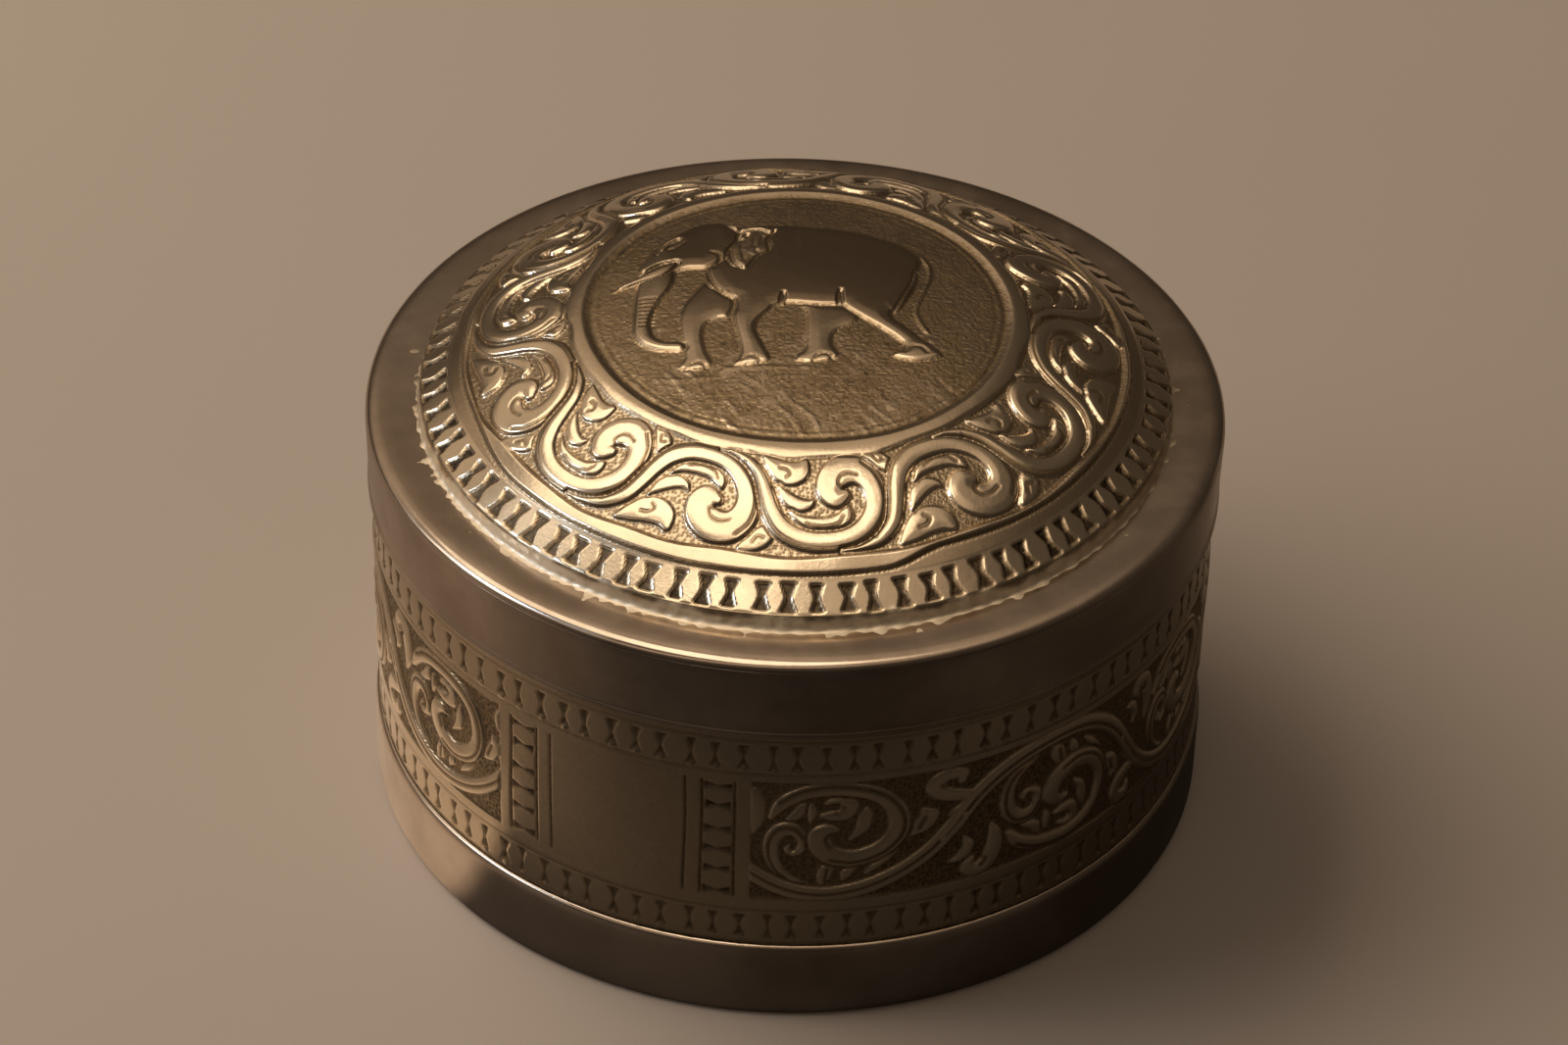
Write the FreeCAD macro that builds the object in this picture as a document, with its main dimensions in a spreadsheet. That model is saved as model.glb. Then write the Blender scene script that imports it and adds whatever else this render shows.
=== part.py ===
import FreeCAD
import Part
import Sketcher
import math
import os

# Round lidded silver box, made of sheet pieces soldered together: a chased drum
# in a foot band with a base plate, a bezel ring that guides the lid, and a lid
# of collar, flat rim and domed chased panel.
# Lengths are millimetres, +Z is up, the box stands on z = 0.

# Driving dimensions
DIMENSIONS = [
    ("wall_diameter", 86.8),
    ("wall_sheet", 0.7),
    ("wall_show", 27.4),
    ("wall_relief", 0.32),
    ("chain_height", 3.4),
    ("chain_margin", 1.1),
    ("chain_depth", 0.22),
    ("scene_margin", 1.4),
    ("chain_marks", 106),
    ("bar_width", 1.6),
    ("ladder_width", 3.2),
    ("ladder_marks", 5),
    ("cartouche_width", 15.0),
    ("cartouche_angle", -112.6),
    ("wall_volutes", 11),
    ("foot_height", 9.2),
    ("foot_sheet", 0.58),
    ("foot_lip", 3.2),
    ("foot_round", 1.4),
    ("foot_edge", 0.4),
    ("base_sheet", 0.8),
    ("solder_gap", 0.02),
    ("slip_clearance", 0.12),
    ("bezel_sheet", 0.6),
    ("bezel_depth", 5.0),
    ("bezel_rise", 7.0),
    ("bezel_lead", 0.3),
    ("collar_height", 9.2),
    ("collar_sheet", 1.2),
    ("collar_edge", 0.35),
    ("rim_sheet", 1.0),
    ("rim_round", 0.8),
    ("rim_width", 4.8),
    ("rim_seat", 2.2),
    ("panel_sheet", 0.7),
    ("panel_lip", 0.5),
    ("edge_width", 0.8),
    ("border_width", 3.2),
    ("border_depth", 0.3),
    ("border_marks", 88),
    ("ring_width", 2.1),
    ("ring_relief", 0.22),
    ("scroll_width", 9.7),
    ("scroll_relief", 0.42),
    ("scroll_pairs", 7),
    ("frame_width", 2.3),
    ("frame_relief", 0.2),
    ("figure_relief", 0.5),
    ("ring_rise", 3.75),
    ("dome_bend", 62.5),
    ("frame_rise", 9.5),
    ("crown_rise", 11.5),
]

doc = FreeCAD.newDocument("SilverBox")
sheet = doc.addObject("Spreadsheet::Sheet", "Dims")
for row, (alias, number) in enumerate(DIMENSIONS, start=1):
    sheet.set("A%d" % row, alias)
    sheet.set("B%d" % row, str(number))
    sheet.setAlias("B%d" % row, alias)
doc.recompute()

# Sizes that follow from the driving ones, as expressions
WALL_OUT = "(Dims.wall_diameter / 2)"
WALL_IN = "(%s - Dims.wall_sheet)" % WALL_OUT
FOOT_IN = "(%s + Dims.solder_gap)" % WALL_OUT
FOOT_OUT = "(%s + Dims.foot_sheet)" % FOOT_IN
LIP_IN = "(%s - Dims.foot_lip)" % WALL_IN
BASE_OUT = "(%s - Dims.solder_gap)" % WALL_IN
BEZEL_OUT = "(%s - Dims.solder_gap)" % WALL_IN
BEZEL_IN = "(%s - Dims.bezel_sheet)" % BEZEL_OUT
COLLAR_IN = "(%s + Dims.slip_clearance)" % BEZEL_OUT
COLLAR_OUT = "(%s + Dims.collar_sheet)" % COLLAR_IN
SEAT = "(Dims.foot_height + Dims.wall_show)"
RIM_UNDER = "(%s + Dims.collar_height - Dims.rim_sheet)" % SEAT
RIM_TOP = "(%s + Dims.collar_height)" % SEAT
WALL_LENGTH = "(%s - Dims.foot_sheet)" % SEAT
SHOW_FOOT = "(Dims.foot_height - Dims.foot_sheet)"
CHAIN_LOW = "(%s + Dims.chain_margin)" % SHOW_FOOT
CHAIN_HIGH = "(%s - Dims.chain_margin - Dims.chain_height)" % WALL_LENGTH
CHAIN_PITCH = "(pi * Dims.wall_diameter / Dims.chain_marks)"
SCENE_HEIGHT = "(Dims.wall_show - 2 * (Dims.chain_margin + Dims.chain_height + Dims.scene_margin))"
SCENE_LOW = "(%s + Dims.chain_height + Dims.scene_margin)" % CHAIN_LOW
PANEL_OUT = "(%s - Dims.rim_width)" % COLLAR_OUT
RING_OUT = "(%s - Dims.edge_width - Dims.border_width)" % PANEL_OUT
SCROLL_OUT = "(%s - Dims.ring_width)" % RING_OUT
FRAME_OUT = "(%s - Dims.scroll_width)" % SCROLL_OUT
FIELD_OUT = "(%s - Dims.frame_width)" % FRAME_OUT
CROWN_SAG = "(Dims.crown_rise - Dims.frame_rise)"
CROWN_BEND = "((%s ^ 2 + %s ^ 2) / (2 * %s))" % (FRAME_OUT, CROWN_SAG, CROWN_SAG)


def number(expression):
    """Value of an expression on the driving dimensions."""
    return float(sheet.evalExpression(expression))


def new_body(name):
    """Empty body whose label names the sub-part."""
    body = doc.addObject("PartDesign::Body", name)
    body.Label = name
    return body


def origin_plane(body, role):
    for feature in body.Origin.OriginFeatures:
        if feature.Role == role:
            return feature


def new_sketch(body, name, role):
    sketch = body.newObject("Sketcher::SketchObject", name)
    sketch.AttachmentSupport = (origin_plane(body, role), [""])
    sketch.MapMode = "FlatFace"
    return sketch


def place_point(sketch, geometry, end, across, up):
    """Pin one end of a sketch edge at the distances given by two expressions."""
    for kind, axis, expression in (("DistanceX", -2, across), ("DistanceY", -1, up)):
        if abs(number(expression)) < 1e-9:
            sketch.addConstraint(Sketcher.Constraint("PointOnObject", geometry, end, axis))
        else:
            pin = Sketcher.Constraint(kind, -1, 1, geometry, end, number(expression))
            index = sketch.addConstraint(pin)
            sketch.setExpression("Constraints[%d]" % index, expression)


def arc_between(start, finish, bend):
    """Arc between two points; a positive bend bulges to the right of the way."""
    chord = finish - start
    half = chord.Length / 2
    side = FreeCAD.Vector(chord.y, -chord.x, 0).normalize()
    depth = (bend * bend - half * half) ** 0.5
    centre = (start + finish) * 0.5 - side * (depth if bend > 0 else -depth)
    circle = Part.Circle(centre, FreeCAD.Vector(0, 0, 1), abs(bend))
    first, last = (start, finish) if bend > 0 else (finish, start)
    begin = math.atan2(first.y - centre.y, first.x - centre.x)
    end = math.atan2(last.y - centre.y, last.x - centre.x)
    if end < begin:
        end += 2 * math.pi
    return Part.ArcOfCircle(circle, begin, end)


def closed_outline(sketch, corners):
    """Closed outline from (across, up, bend) corners; bend curves the edge that follows."""
    points = [FreeCAD.Vector(number(c[0]), number(c[1]), 0) for c in corners]
    ends = []
    for i, corner in enumerate(corners):
        start, finish = points[i], points[(i + 1) % len(points)]
        if corner[2] is None:
            edge = sketch.addGeometry(Part.LineSegment(start, finish), False)
            ends.append((edge, 1, 2))
            continue
        bend = number(corner[2])
        edge = sketch.addGeometry(arc_between(start, finish, bend), False)
        ends.append((edge, 1, 2) if bend > 0 else (edge, 2, 1))
    for i in range(len(corners)):
        edge, first, last = ends[i]
        after, begin, _ = ends[(i + 1) % len(ends)]
        sketch.addConstraint(Sketcher.Constraint("Coincident", edge, last, after, begin))
        place_point(sketch, edge, first, corners[i][0], corners[i][1])
    for i, corner in enumerate(corners):
        if corner[2] is not None:
            edge = ends[i][0]
            bend = Sketcher.Constraint("Radius", edge, abs(number(corner[2])))
            index = sketch.addConstraint(bend)
            sketch.setExpression("Constraints[%d]" % index, "abs(%s)" % corner[2])


def turned(body, corners):
    """Revolve a closed (radius, height) outline about the axis of the box."""
    sketch = new_sketch(body, body.Name + "_outline", "XZ_Plane")
    closed_outline(sketch, [c if len(c) == 3 else (c[0], c[1], None) for c in corners])
    spin = body.newObject("PartDesign::Revolution", body.Name + "_turn")
    spin.Profile = sketch
    spin.ReferenceAxis = (sketch, ["V_Axis"])
    spin.Angle = 360
    doc.recompute()
    return spin


def round_edge(body, base, radius, at):
    """Fillet the circular edge that runs through the given (radius, height)."""
    across, up = number(at[0]), number(at[1])
    names = []
    for i, edge in enumerate(base.Shape.Edges, start=1):
        curve = edge.Curve
        if not isinstance(curve, Part.Circle) or abs(curve.Radius - across) > 1e-4:
            continue
        if abs(curve.Center.z - up) < 1e-4:
            names.append("Edge%d" % i)
    fillet = body.newObject("PartDesign::Fillet", "%s_round" % body.Name)
    fillet.Base = (base, names)
    fillet.setExpression("Radius", radius)
    doc.recompute()
    return fillet


def hourglass(sketch, half_width, low, high):
    """Struck mark: two flared ends joined by a narrow waist."""
    waist = "(0.15 * %s)" % half_width
    middle = "((%s + %s) / 2)" % (low, high)
    closed_outline(sketch, [
        ("-" + half_width, low, None),
        (half_width, low, None),
        (waist, middle, None),
        (half_width, high, None),
        ("-" + half_width, high, None),
        ("-" + waist, middle, None),
    ])


def struck(body, sketch, depth, count):
    """Sink the marks of a sketch and repeat them all round the axis."""
    pocket = body.newObject("PartDesign::Pocket", sketch.Name + "_sunk")
    pocket.Profile = sketch
    pocket.Refine = False
    pocket.setExpression("Length", depth)
    pattern = body.newObject("PartDesign::PolarPattern", sketch.Name + "_round")
    pattern.Originals = [pocket]
    pattern.Axis = (origin_plane(body, "Z_Axis"), [""])
    pattern.Angle = 360
    pattern.Refine = False
    pattern.setExpression("Occurrences", count)
    body.Tip = pattern
    doc.recompute()
    return pattern


def smooth(points):
    curve = Part.BSplineCurve()
    curve.interpolate(points)
    return curve


def ribbon(stations, place):
    """Face of a stroke: (along, across, half width) stations, laid out by place."""
    line = smooth([FreeCAD.Vector(a, b, 0) for a, b, _ in stations])
    left, right = [], []
    for along, across, half in stations:
        middle = FreeCAD.Vector(along, across, 0)
        way = line.tangent(line.parameter(middle))[0]
        side = FreeCAD.Vector(-way.y, way.x, 0) * half
        left.append(place(*(middle + side)[:2]))
        right.append(place(*(middle - side)[:2]))
    edges = [
        smooth(left).toShape(),
        Part.makeLine(left[-1], right[-1]),
        smooth(right[::-1]).toShape(),
        Part.makeLine(right[0], left[0]),
    ]
    return Part.Face(Part.Wire(edges))


def spot(along, across, radius, place):
    """Face of a round bud."""
    ring = []
    for k in range(8):
        turn = k * math.pi / 4
        ring.append(place(along + radius * math.cos(turn), across + radius * math.sin(turn)))
    curve = Part.BSplineCurve()
    curve.interpolate(ring, PeriodicFlag=True)
    return Part.Face(Part.Wire([curve.toShape()]))


# Foot band: outside ring with a turned-in lip that the drum and the base stand on
foot_band = new_body("foot_band")
foot = turned(foot_band, [
    (LIP_IN, "0"),
    (FOOT_OUT, "0"),
    (FOOT_OUT, "Dims.foot_height"),
    (FOOT_IN, "Dims.foot_height"),
    (FOOT_IN, "Dims.foot_sheet"),
    (LIP_IN, "Dims.foot_sheet"),
])
foot = round_edge(foot_band, foot, "Dims.foot_round", (FOOT_OUT, "0"))
foot = round_edge(foot_band, foot, "Dims.foot_edge", (FOOT_OUT, "Dims.foot_height"))

# Chased drum, standing on the lip of the foot band: a struck border below and above
SCENE_TOP = "(%s + %s)" % (SCENE_LOW, SCENE_HEIGHT)


def struck_ring(name, low, high, chain_low):
    """Plain length of the drum with one border of struck marks."""
    body = new_body(name)
    turned(body, [(WALL_IN, low), (WALL_OUT, low), (WALL_OUT, high), (WALL_IN, high)])
    chain = new_sketch(body, name + "_marks", "XZ_Plane")
    chain.setExpression("AttachmentOffset.Base.z", WALL_OUT)
    chain_high = "(%s + Dims.chain_height)" % chain_low
    hourglass(chain, "(0.36 * %s)" % CHAIN_PITCH, chain_low, chain_high)
    struck(body, chain, "Dims.chain_depth", "Dims.chain_marks")
    return body


drum_foot = struck_ring("drum_foot", "0", SCENE_LOW, CHAIN_LOW)
drum_mouth = struck_ring("drum_mouth", SCENE_TOP, WALL_LENGTH, CHAIN_HIGH)

# Chased zone between the borders: the cartouche with its bars, then the running scroll
FRONT = -90
SINK = 0.2
UP = FreeCAD.Vector(0, 0, 1)
MIDDLE = FreeCAD.Vector(0, 0, 0)
wall_radius = number(WALL_OUT)
scene_low = number(SCENE_LOW)
scene_height = number(SCENE_HEIGHT)
scene_mid = scene_low + scene_height / 2
half_scene = scene_height / 2


def sector(face, degrees):
    """Turn a face of the XZ plane about the axis, evenly to both sides of the front."""
    solid = face.revolve(MIDDLE, UP, degrees)
    solid.rotate(MIDDLE, UP, FRONT - degrees / 2)
    return solid


def turn_about_axis(shape, degrees):
    copy = shape.copy()
    copy.rotate(MIDDLE, UP, degrees)
    return copy


def upright_face(inner, outer):
    """Rectangle of the XZ plane over the height of the chased zone."""
    top = scene_low + scene_height
    corners = [(inner, scene_low), (outer, scene_low), (outer, top), (inner, top)]
    points = [FreeCAD.Vector(x, 0, z) for x, z in corners]
    return Part.Face(Part.makePolygon(points + points[:1]))


def chased_sector(faces, degrees):
    """Part of the drum with raised work under faces drawn in front of it."""
    plain = sector(upright_face(number(WALL_IN), wall_radius), degrees)
    raised = wall_radius + number("Dims.wall_relief")
    layer = sector(upright_face(wall_radius - SINK, raised), degrees)
    prisms = [face.extrude(FreeCAD.Vector(0, 0.45 * wall_radius, 0)) for face in faces]
    return plain.fuse(layer.common(prisms[0].multiFuse(prisms[1:])))


def on_wall(along, across):
    """Point of the chased work, drawn in a plane in front of the drum."""
    turn = along / wall_radius
    return FreeCAD.Vector(wall_radius * math.sin(turn), -wall_radius - 2, scene_mid + across)


def bar_face(along, width):
    corners = [(along - width / 2, -half_scene), (along + width / 2, -half_scene),
               (along + width / 2, half_scene), (along - width / 2, half_scene)]
    points = [on_wall(a, b) for a, b in corners]
    return Part.Face(Part.makePolygon(points + points[:1]))


cartouche = number("Dims.cartouche_width")
bar = number("Dims.bar_width")
ladder = number("Dims.ladder_width")
steps = int(number("Dims.ladder_marks"))
step = scene_height / steps
frame_faces = []
for side in (-1, 1):
    inner_bar = side * (cartouche / 2 + bar / 2)
    outer_bar = inner_bar + side * (bar + ladder)
    frame_faces += [bar_face(inner_bar, bar), bar_face(outer_bar, bar)]
    between = (inner_bar + outer_bar) / 2
    for k in range(steps):
        middle = (k + 0.5) * step - half_scene
        frame_faces.append(ribbon([
            (between - 0.4 * ladder, middle, 0.18 * step),
            (between, middle, 0.4 * step),
            (between + 0.4 * ladder, middle, 0.18 * step),
        ], on_wall))

# One volute of the wall scroll: wave stem, spiral, leaves and two buds
volutes = int(number("Dims.wall_volutes"))
frame_turn = math.degrees((cartouche + 4 * bar + 2 * ladder) / wall_radius) + 2
volute_turn = (360 - frame_turn) / volutes
reach = math.radians(volute_turn) * wall_radius / 22.1
tallness = scene_height / 15.6


def volute_faces(flip, first, last):
    def lay(along, across):
        return on_wall(along * reach, flip * across * tallness)

    start = (-8.4, 2.6, 0.5) if first else (-11.4, -0.5, 0.62)
    finish = (8.4, 2.6, 0.5) if last else (11.4, -0.5, 0.62)
    stem = [start, (-6.4, 4.7, 0.62), (-3.4, 6.5, 0.65), (0, 7.0, 0.65),
            (3.4, 6.5, 0.65), (6.4, 4.7, 0.62), finish]
    spiral = [(-5.6, 4.4, 0.3), (-6.6, 1.6, 0.6), (-6.2, -2.2, 0.7), (-4.2, -5.3, 0.75),
              (-0.6, -6.8, 0.8), (3.0, -6.0, 0.8), (5.3, -3.3, 0.85), (5.4, 0.2, 0.9),
              (3.6, 2.6, 1.0), (0.9, 2.7, 1.1), (-1.0, 1.2, 0.9), (-1.3, -0.8, 0.5)]
    leaf = [(-3.9, 2.6, 0.3), (-4.3, 0.4, 0.8), (-3.6, -1.8, 0.9), (-2.2, -3.4, 0.4)]
    heart = [(0.6, -0.6, 0.3), (1.4, -2.0, 1.0), (0.7, -3.6, 0.9), (-0.6, -4.4, 0.3)]
    faces = [ribbon(stroke, lay) for stroke in (stem, spiral, leaf, heart)]
    faces.append(spot(-9.3, -4.9, 1.4, lay))
    faces.append(spot(8.9, -4.6, 1.3, lay))
    return faces


zones = [turn_about_axis(chased_sector(frame_faces, frame_turn),
                         number("Dims.cartouche_angle") - FRONT)]
scroll_start = number("Dims.cartouche_angle") + frame_turn / 2
crest = chased_sector(volute_faces(1, False, False), volute_turn)
trough = chased_sector(volute_faces(-1, False, False), volute_turn)
for k in range(volutes):
    zone = crest if k % 2 else trough
    if k in (0, volutes - 1):
        flip = 1 if k % 2 else -1
        zone = chased_sector(volute_faces(flip, k == 0, k == volutes - 1), volute_turn)
    zones.append(turn_about_axis(zone, scroll_start + (k + 0.5) * volute_turn - FRONT))
drum_scroll = doc.addObject("Part::Feature", "drum_scroll")
drum_scroll.Shape = zones[0].multiFuse(zones[1:])
body_wall = doc.addObject("Part::MultiFuse", "body_wall")
body_wall.Shapes = [drum_foot, drum_scroll, drum_mouth]
body_wall.Refine = False
body_wall.setExpression("Placement.Base.z", "Dims.foot_sheet")

# Base plate, inside the drum on the same lip
base_plate = new_body("base_plate")
turned(base_plate, [
    ("0", "0"),
    (BASE_OUT, "0"),
    (BASE_OUT, "Dims.base_sheet"),
    ("0", "Dims.base_sheet"),
])
base_plate.setExpression("Placement.Base.z", "Dims.foot_sheet")

# Bezel ring, soldered inside the mouth of the drum and standing up into the lid
inner_bezel = new_body("inner_bezel")
BEZEL_LENGTH = "(Dims.bezel_depth + Dims.bezel_rise)"
bezel = turned(inner_bezel, [
    (BEZEL_IN, "0"),
    (BEZEL_OUT, "0"),
    (BEZEL_OUT, BEZEL_LENGTH),
    (BEZEL_IN, BEZEL_LENGTH),
])
round_edge(inner_bezel, bezel, "Dims.bezel_lead", (BEZEL_OUT, BEZEL_LENGTH))
inner_bezel.setExpression("Placement.Base.z", "%s - Dims.bezel_depth" % SEAT)

# Lid collar, a slip fit over the bezel, seated on the top edge of the drum
lid_collar = new_body("lid_collar")
COLLAR_LENGTH = "(Dims.collar_height - Dims.rim_sheet)"
collar = turned(lid_collar, [
    (COLLAR_IN, "0"),
    (COLLAR_OUT, "0"),
    (COLLAR_OUT, COLLAR_LENGTH),
    (COLLAR_IN, COLLAR_LENGTH),
])
round_edge(lid_collar, collar, "Dims.collar_edge", (COLLAR_OUT, "0"))
lid_collar.setExpression("Placement.Base.z", SEAT)

# Flat rim of the lid, lying on the collar
lid_rim = new_body("lid_rim")
rim = turned(lid_rim, [
    ("(%s - Dims.rim_seat)" % PANEL_OUT, "0"),
    (COLLAR_OUT, "0"),
    (COLLAR_OUT, "Dims.rim_sheet"),
    ("(%s - Dims.rim_seat)" % PANEL_OUT, "Dims.rim_sheet"),
])
round_edge(lid_rim, rim, "Dims.rim_round", (COLLAR_OUT, "Dims.rim_sheet"))
lid_rim.setExpression("Placement.Base.z", RIM_UNDER)

# Domed panel, lying on the rim with its edge: the sloping border with its struck marks
panel_border = new_body("panel_border")
turned(panel_border, [
    ("(%s - 1.8 * Dims.panel_sheet)" % PANEL_OUT, "0"),
    (PANEL_OUT, "0"),
    (PANEL_OUT, "Dims.panel_lip"),
    (RING_OUT, "Dims.ring_rise"),
    (RING_OUT, "(Dims.ring_rise - Dims.panel_sheet)"),
])
slope_run = "(Dims.edge_width + Dims.border_width)"
slope = math.degrees(math.atan2(number("Dims.ring_rise - Dims.panel_lip"), number(slope_run)))
mark_radius = number("%s + Dims.border_width / 2" % RING_OUT)
mark_rise = number("Dims.ring_rise") - number("Dims.border_width / 2") * math.tan(math.radians(slope))
border_marks = new_sketch(panel_border, "border_marks", "XY_Plane")
border_marks.AttachmentOffset = FreeCAD.Placement(
    FreeCAD.Vector(0, -mark_radius, mark_rise),
    FreeCAD.Rotation(FreeCAD.Vector(1, 0, 0), slope))
mark_half = "(0.36 * 2 * pi * %s / Dims.border_marks)" % RING_OUT
mark_reach = "(0.54 * Dims.border_width)"
hourglass(border_marks, mark_half, "-" + mark_reach, mark_reach)
struck(panel_border, border_marks, "Dims.border_depth", "Dims.border_marks")


def height_on_arc(radius, inner, inner_rise, outer, outer_rise, bend):
    """Height of a dome arc at a radius."""
    arc = arc_between(FreeCAD.Vector(outer, outer_rise, 0), FreeCAD.Vector(inner, inner_rise, 0), bend)
    return arc.Center.y + (bend ** 2 - (radius - arc.Center.x) ** 2) ** 0.5


def dome_face(inner, outer, low, high, arc):
    """Face of the XZ plane between two copies of a dome arc, moved up and down."""
    def at(radius, lift):
        return FreeCAD.Vector(radius, 0, height_on_arc(radius, *arc) + lift)

    middle = (inner + outer) / 2
    edges = [
        Part.Arc(at(inner, low), at(middle, low), at(outer, low)).toShape(),
        Part.makeLine(at(outer, low), at(outer, high)),
        Part.Arc(at(outer, high), at(middle, high), at(inner, high)).toShape(),
        Part.makeLine(at(inner, high), at(inner, low)),
    ]
    return Part.Face(Part.Wire(edges))


# Scroll zone of the panel: plain raised ring outside, pairs of volutes inside it
panel_sheet = number("Dims.panel_sheet")
ring_out, scroll_out = number(RING_OUT), number(SCROLL_OUT)
frame_out, field_out = number(FRAME_OUT), number(FIELD_OUT)
frame_rise, crown_rise = number("Dims.frame_rise"), number("Dims.crown_rise")
scroll_arc = (frame_out, frame_rise, ring_out, number("Dims.ring_rise"), number("Dims.dome_bend"))
crown_arc = (0, crown_rise, frame_out, frame_rise, number(CROWN_BEND))
pairs = int(number("Dims.scroll_pairs"))
pair_turn = 360 / pairs
scroll_mid = (scroll_out + frame_out) / 2
stretch = math.radians(pair_turn) * scroll_mid / 25.3
breadth = (scroll_out - frame_out) / 9.7


def raised(zone, layer, faces):
    """Zone of the panel with raised work under faces drawn below it."""
    prisms = [face.extrude(FreeCAD.Vector(0, 0, 3 * crown_rise)) for face in faces]
    return zone.fuse(layer.common(prisms[0].multiFuse(prisms[1:])))


def lid_volute(flip, shift):
    """Strokes of one volute of the lid scroll: wave stem ending in a curl, hook and bud."""
    def lay(along, across):
        turn = math.radians(FRONT) + (along + shift) * stretch / scroll_mid
        radius = scroll_mid + flip * across * breadth
        return FreeCAD.Vector(radius * math.cos(turn), radius * math.sin(turn), 0)

    curl = [(-9.4, -3.4, 0.3), (-8.0, -1.9, 0.45), (-6.3, 0.6, 0.5), (-4.6, 2.7, 0.5),
            (-2.2, 4.0, 0.5), (0.4, 4.15, 0.55), (2.8, 3.2, 0.65), (4.3, 1.2, 0.8),
            (4.5, -1.0, 0.95), (3.6, -2.9, 1.15), (1.6, -3.5, 1.2), (-0.4, -2.9, 1.0),
            (-1.0, -1.3, 0.7), (0.1, -0.5, 0.5)]
    hook = [(-4.7, 0.1, 0.15), (-3.4, 1.7, 0.3), (-1.5, 2.6, 0.35), (0.4, 2.3, 0.35),
            (1.1, 1.3, 0.3), (0.5, 0.7, 0.2)]
    return [ribbon(curl, lay), ribbon(hook, lay), spot(-4.2, -2.7, 0.95, lay)]


def lid_sector():
    zone = sector(dome_face(frame_out, ring_out, -panel_sheet, 0, scroll_arc), pair_turn)
    ring_lift = number("Dims.ring_relief")
    ring = sector(dome_face(scroll_out, ring_out, -SINK, ring_lift, scroll_arc), pair_turn)
    scroll_lift = number("Dims.scroll_relief")
    layer = sector(dome_face(frame_out, scroll_out, -SINK, scroll_lift, scroll_arc), pair_turn)
    faces = []
    for shift, flip in ((-18.975, -1), (-6.325, 1), (6.325, -1), (18.975, 1)):
        faces += lid_volute(flip, shift)
    return raised(zone.fuse(ring), layer, faces)


one_pair = lid_sector()
scroll_zones = [turn_about_axis(one_pair, k * pair_turn) for k in range(pairs)]
panel_scroll = doc.addObject("Part::Feature", "panel_scroll")
panel_scroll.Shape = scroll_zones[0].multiFuse(scroll_zones[1:])

# Crown of the panel: medallion frame and walking elephant
def in_medallion(along, across):
    return FreeCAD.Vector(along * field_out / 21.0, across * field_out / 21.0, 0)


def blob(points):
    curve = Part.BSplineCurve()
    curve.interpolate([in_medallion(a, b) for a, b in points], PeriodicFlag=True)
    return Part.Face(Part.Wire([curve.toShape()]))


trunk_and_body = blob([(-2.8, 14.2), (3.0, 14.7), (9.0, 13.6), (12.6, 9.8), (12.8, 5.6), (11.2, 1.8),
                       (9.4, -1.2), (4.2, -1.3), (-0.6, -1.0), (-4.2, 0.6), (-8.6, 0.6), (-10.6, 4.0)])
head = blob([(-9.0, 14.9), (-12.6, 13.2), (-14.3, 9.8), (-13.6, 6.4), (-10.4, 4.8), (-5.6, 6.4),
             (-4.6, 11.0), (-6.2, 14.2)])
limbs = [
    [(-13.2, 8.0, 1.3), (-15.4, 3.0, 1.3), (-16.0, -2.4, 1.2), (-15.0, -6.2, 1.0), (-12.2, -8.2, 0.7)],
    [(-10.8, 2.0, 1.9), (-11.0, -4.0, 1.5), (-11.0, -9.0, 1.4), (-10.6, -11.3, 2.0)],
    [(-5.0, 2.0, 2.2), (-4.6, -4.0, 1.6), (-4.4, -8.0, 1.6), (-4.4, -10.2, 2.0)],
    [(2.4, 0.0, 2.0), (1.6, -4.4, 1.6), (1.4, -8.0, 1.6), (1.8, -9.6, 2.0)],
    [(8.6, 1.6, 2.6), (9.6, -1.8, 1.9), (11.4, -5.0, 1.6), (12.6, -8.0, 1.9)],
    [(12.2, 9.2, 0.4), (13.5, 4.4, 0.4), (12.6, 0.4, 0.4), (12.9, -3.6, 0.5)],
    [(-13.0, 6.2, 0.6), (-15.4, 4.2, 0.5), (-17.6, 2.6, 0.3)],
]
figure = [trunk_and_body, head] + [ribbon(limb, in_medallion) for limb in limbs]
dome = dome_face(0, frame_out, -panel_sheet, 0, crown_arc).revolve(MIDDLE, UP, 360)
band = dome_face(field_out, frame_out, -SINK, number("Dims.frame_relief"), crown_arc)
figure_layer = dome_face(0, field_out, -SINK, number("Dims.figure_relief"), crown_arc)
panel_crown = doc.addObject("Part::Feature", "panel_crown")
panel_crown.Shape = raised(dome.fuse(band.revolve(MIDDLE, UP, 360)),
                           figure_layer.revolve(MIDDLE, UP, 360), figure)
lid_panel = doc.addObject("Part::MultiFuse", "lid_panel")
lid_panel.Shapes = [panel_border, panel_scroll, panel_crown]
lid_panel.Refine = False
lid_panel.setExpression("Placement.Base.z", RIM_TOP)

doc.recompute()

SUBPARTS = [foot_band, body_wall, base_plate, inner_bezel, lid_collar, lid_rim, lid_panel]

# Every object must be sound and every sub-part must have a valid solid
for item in doc.Objects:
    if "Invalid" in item.State or "Error" in item.State:
        raise RuntimeError("object not sound: " + item.Label)
os.makedirs("parts", exist_ok=True)
for piece in SUBPARTS:
    shape = piece.Shape
    if shape.isNull() or not shape.isValid():
        raise RuntimeError("no valid shape: " + piece.Label)
    shape.exportStep("parts/%s.step" % piece.Label)
    print(piece.Label, len(shape.Faces), "faces", round(shape.Volume, 2), "mm3")
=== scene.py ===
# %% [markdown]
# A round silver box with a domed, chased lid. The packed model is loaded first: it
# is the fixed frame that every visible piece is fitted to. Its box is kept.

# %% Load the frame and keep its size
import math
from collections import namedtuple
import bmesh
import bpy
import numpy as np
from mathutils import Matrix, Vector


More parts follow.
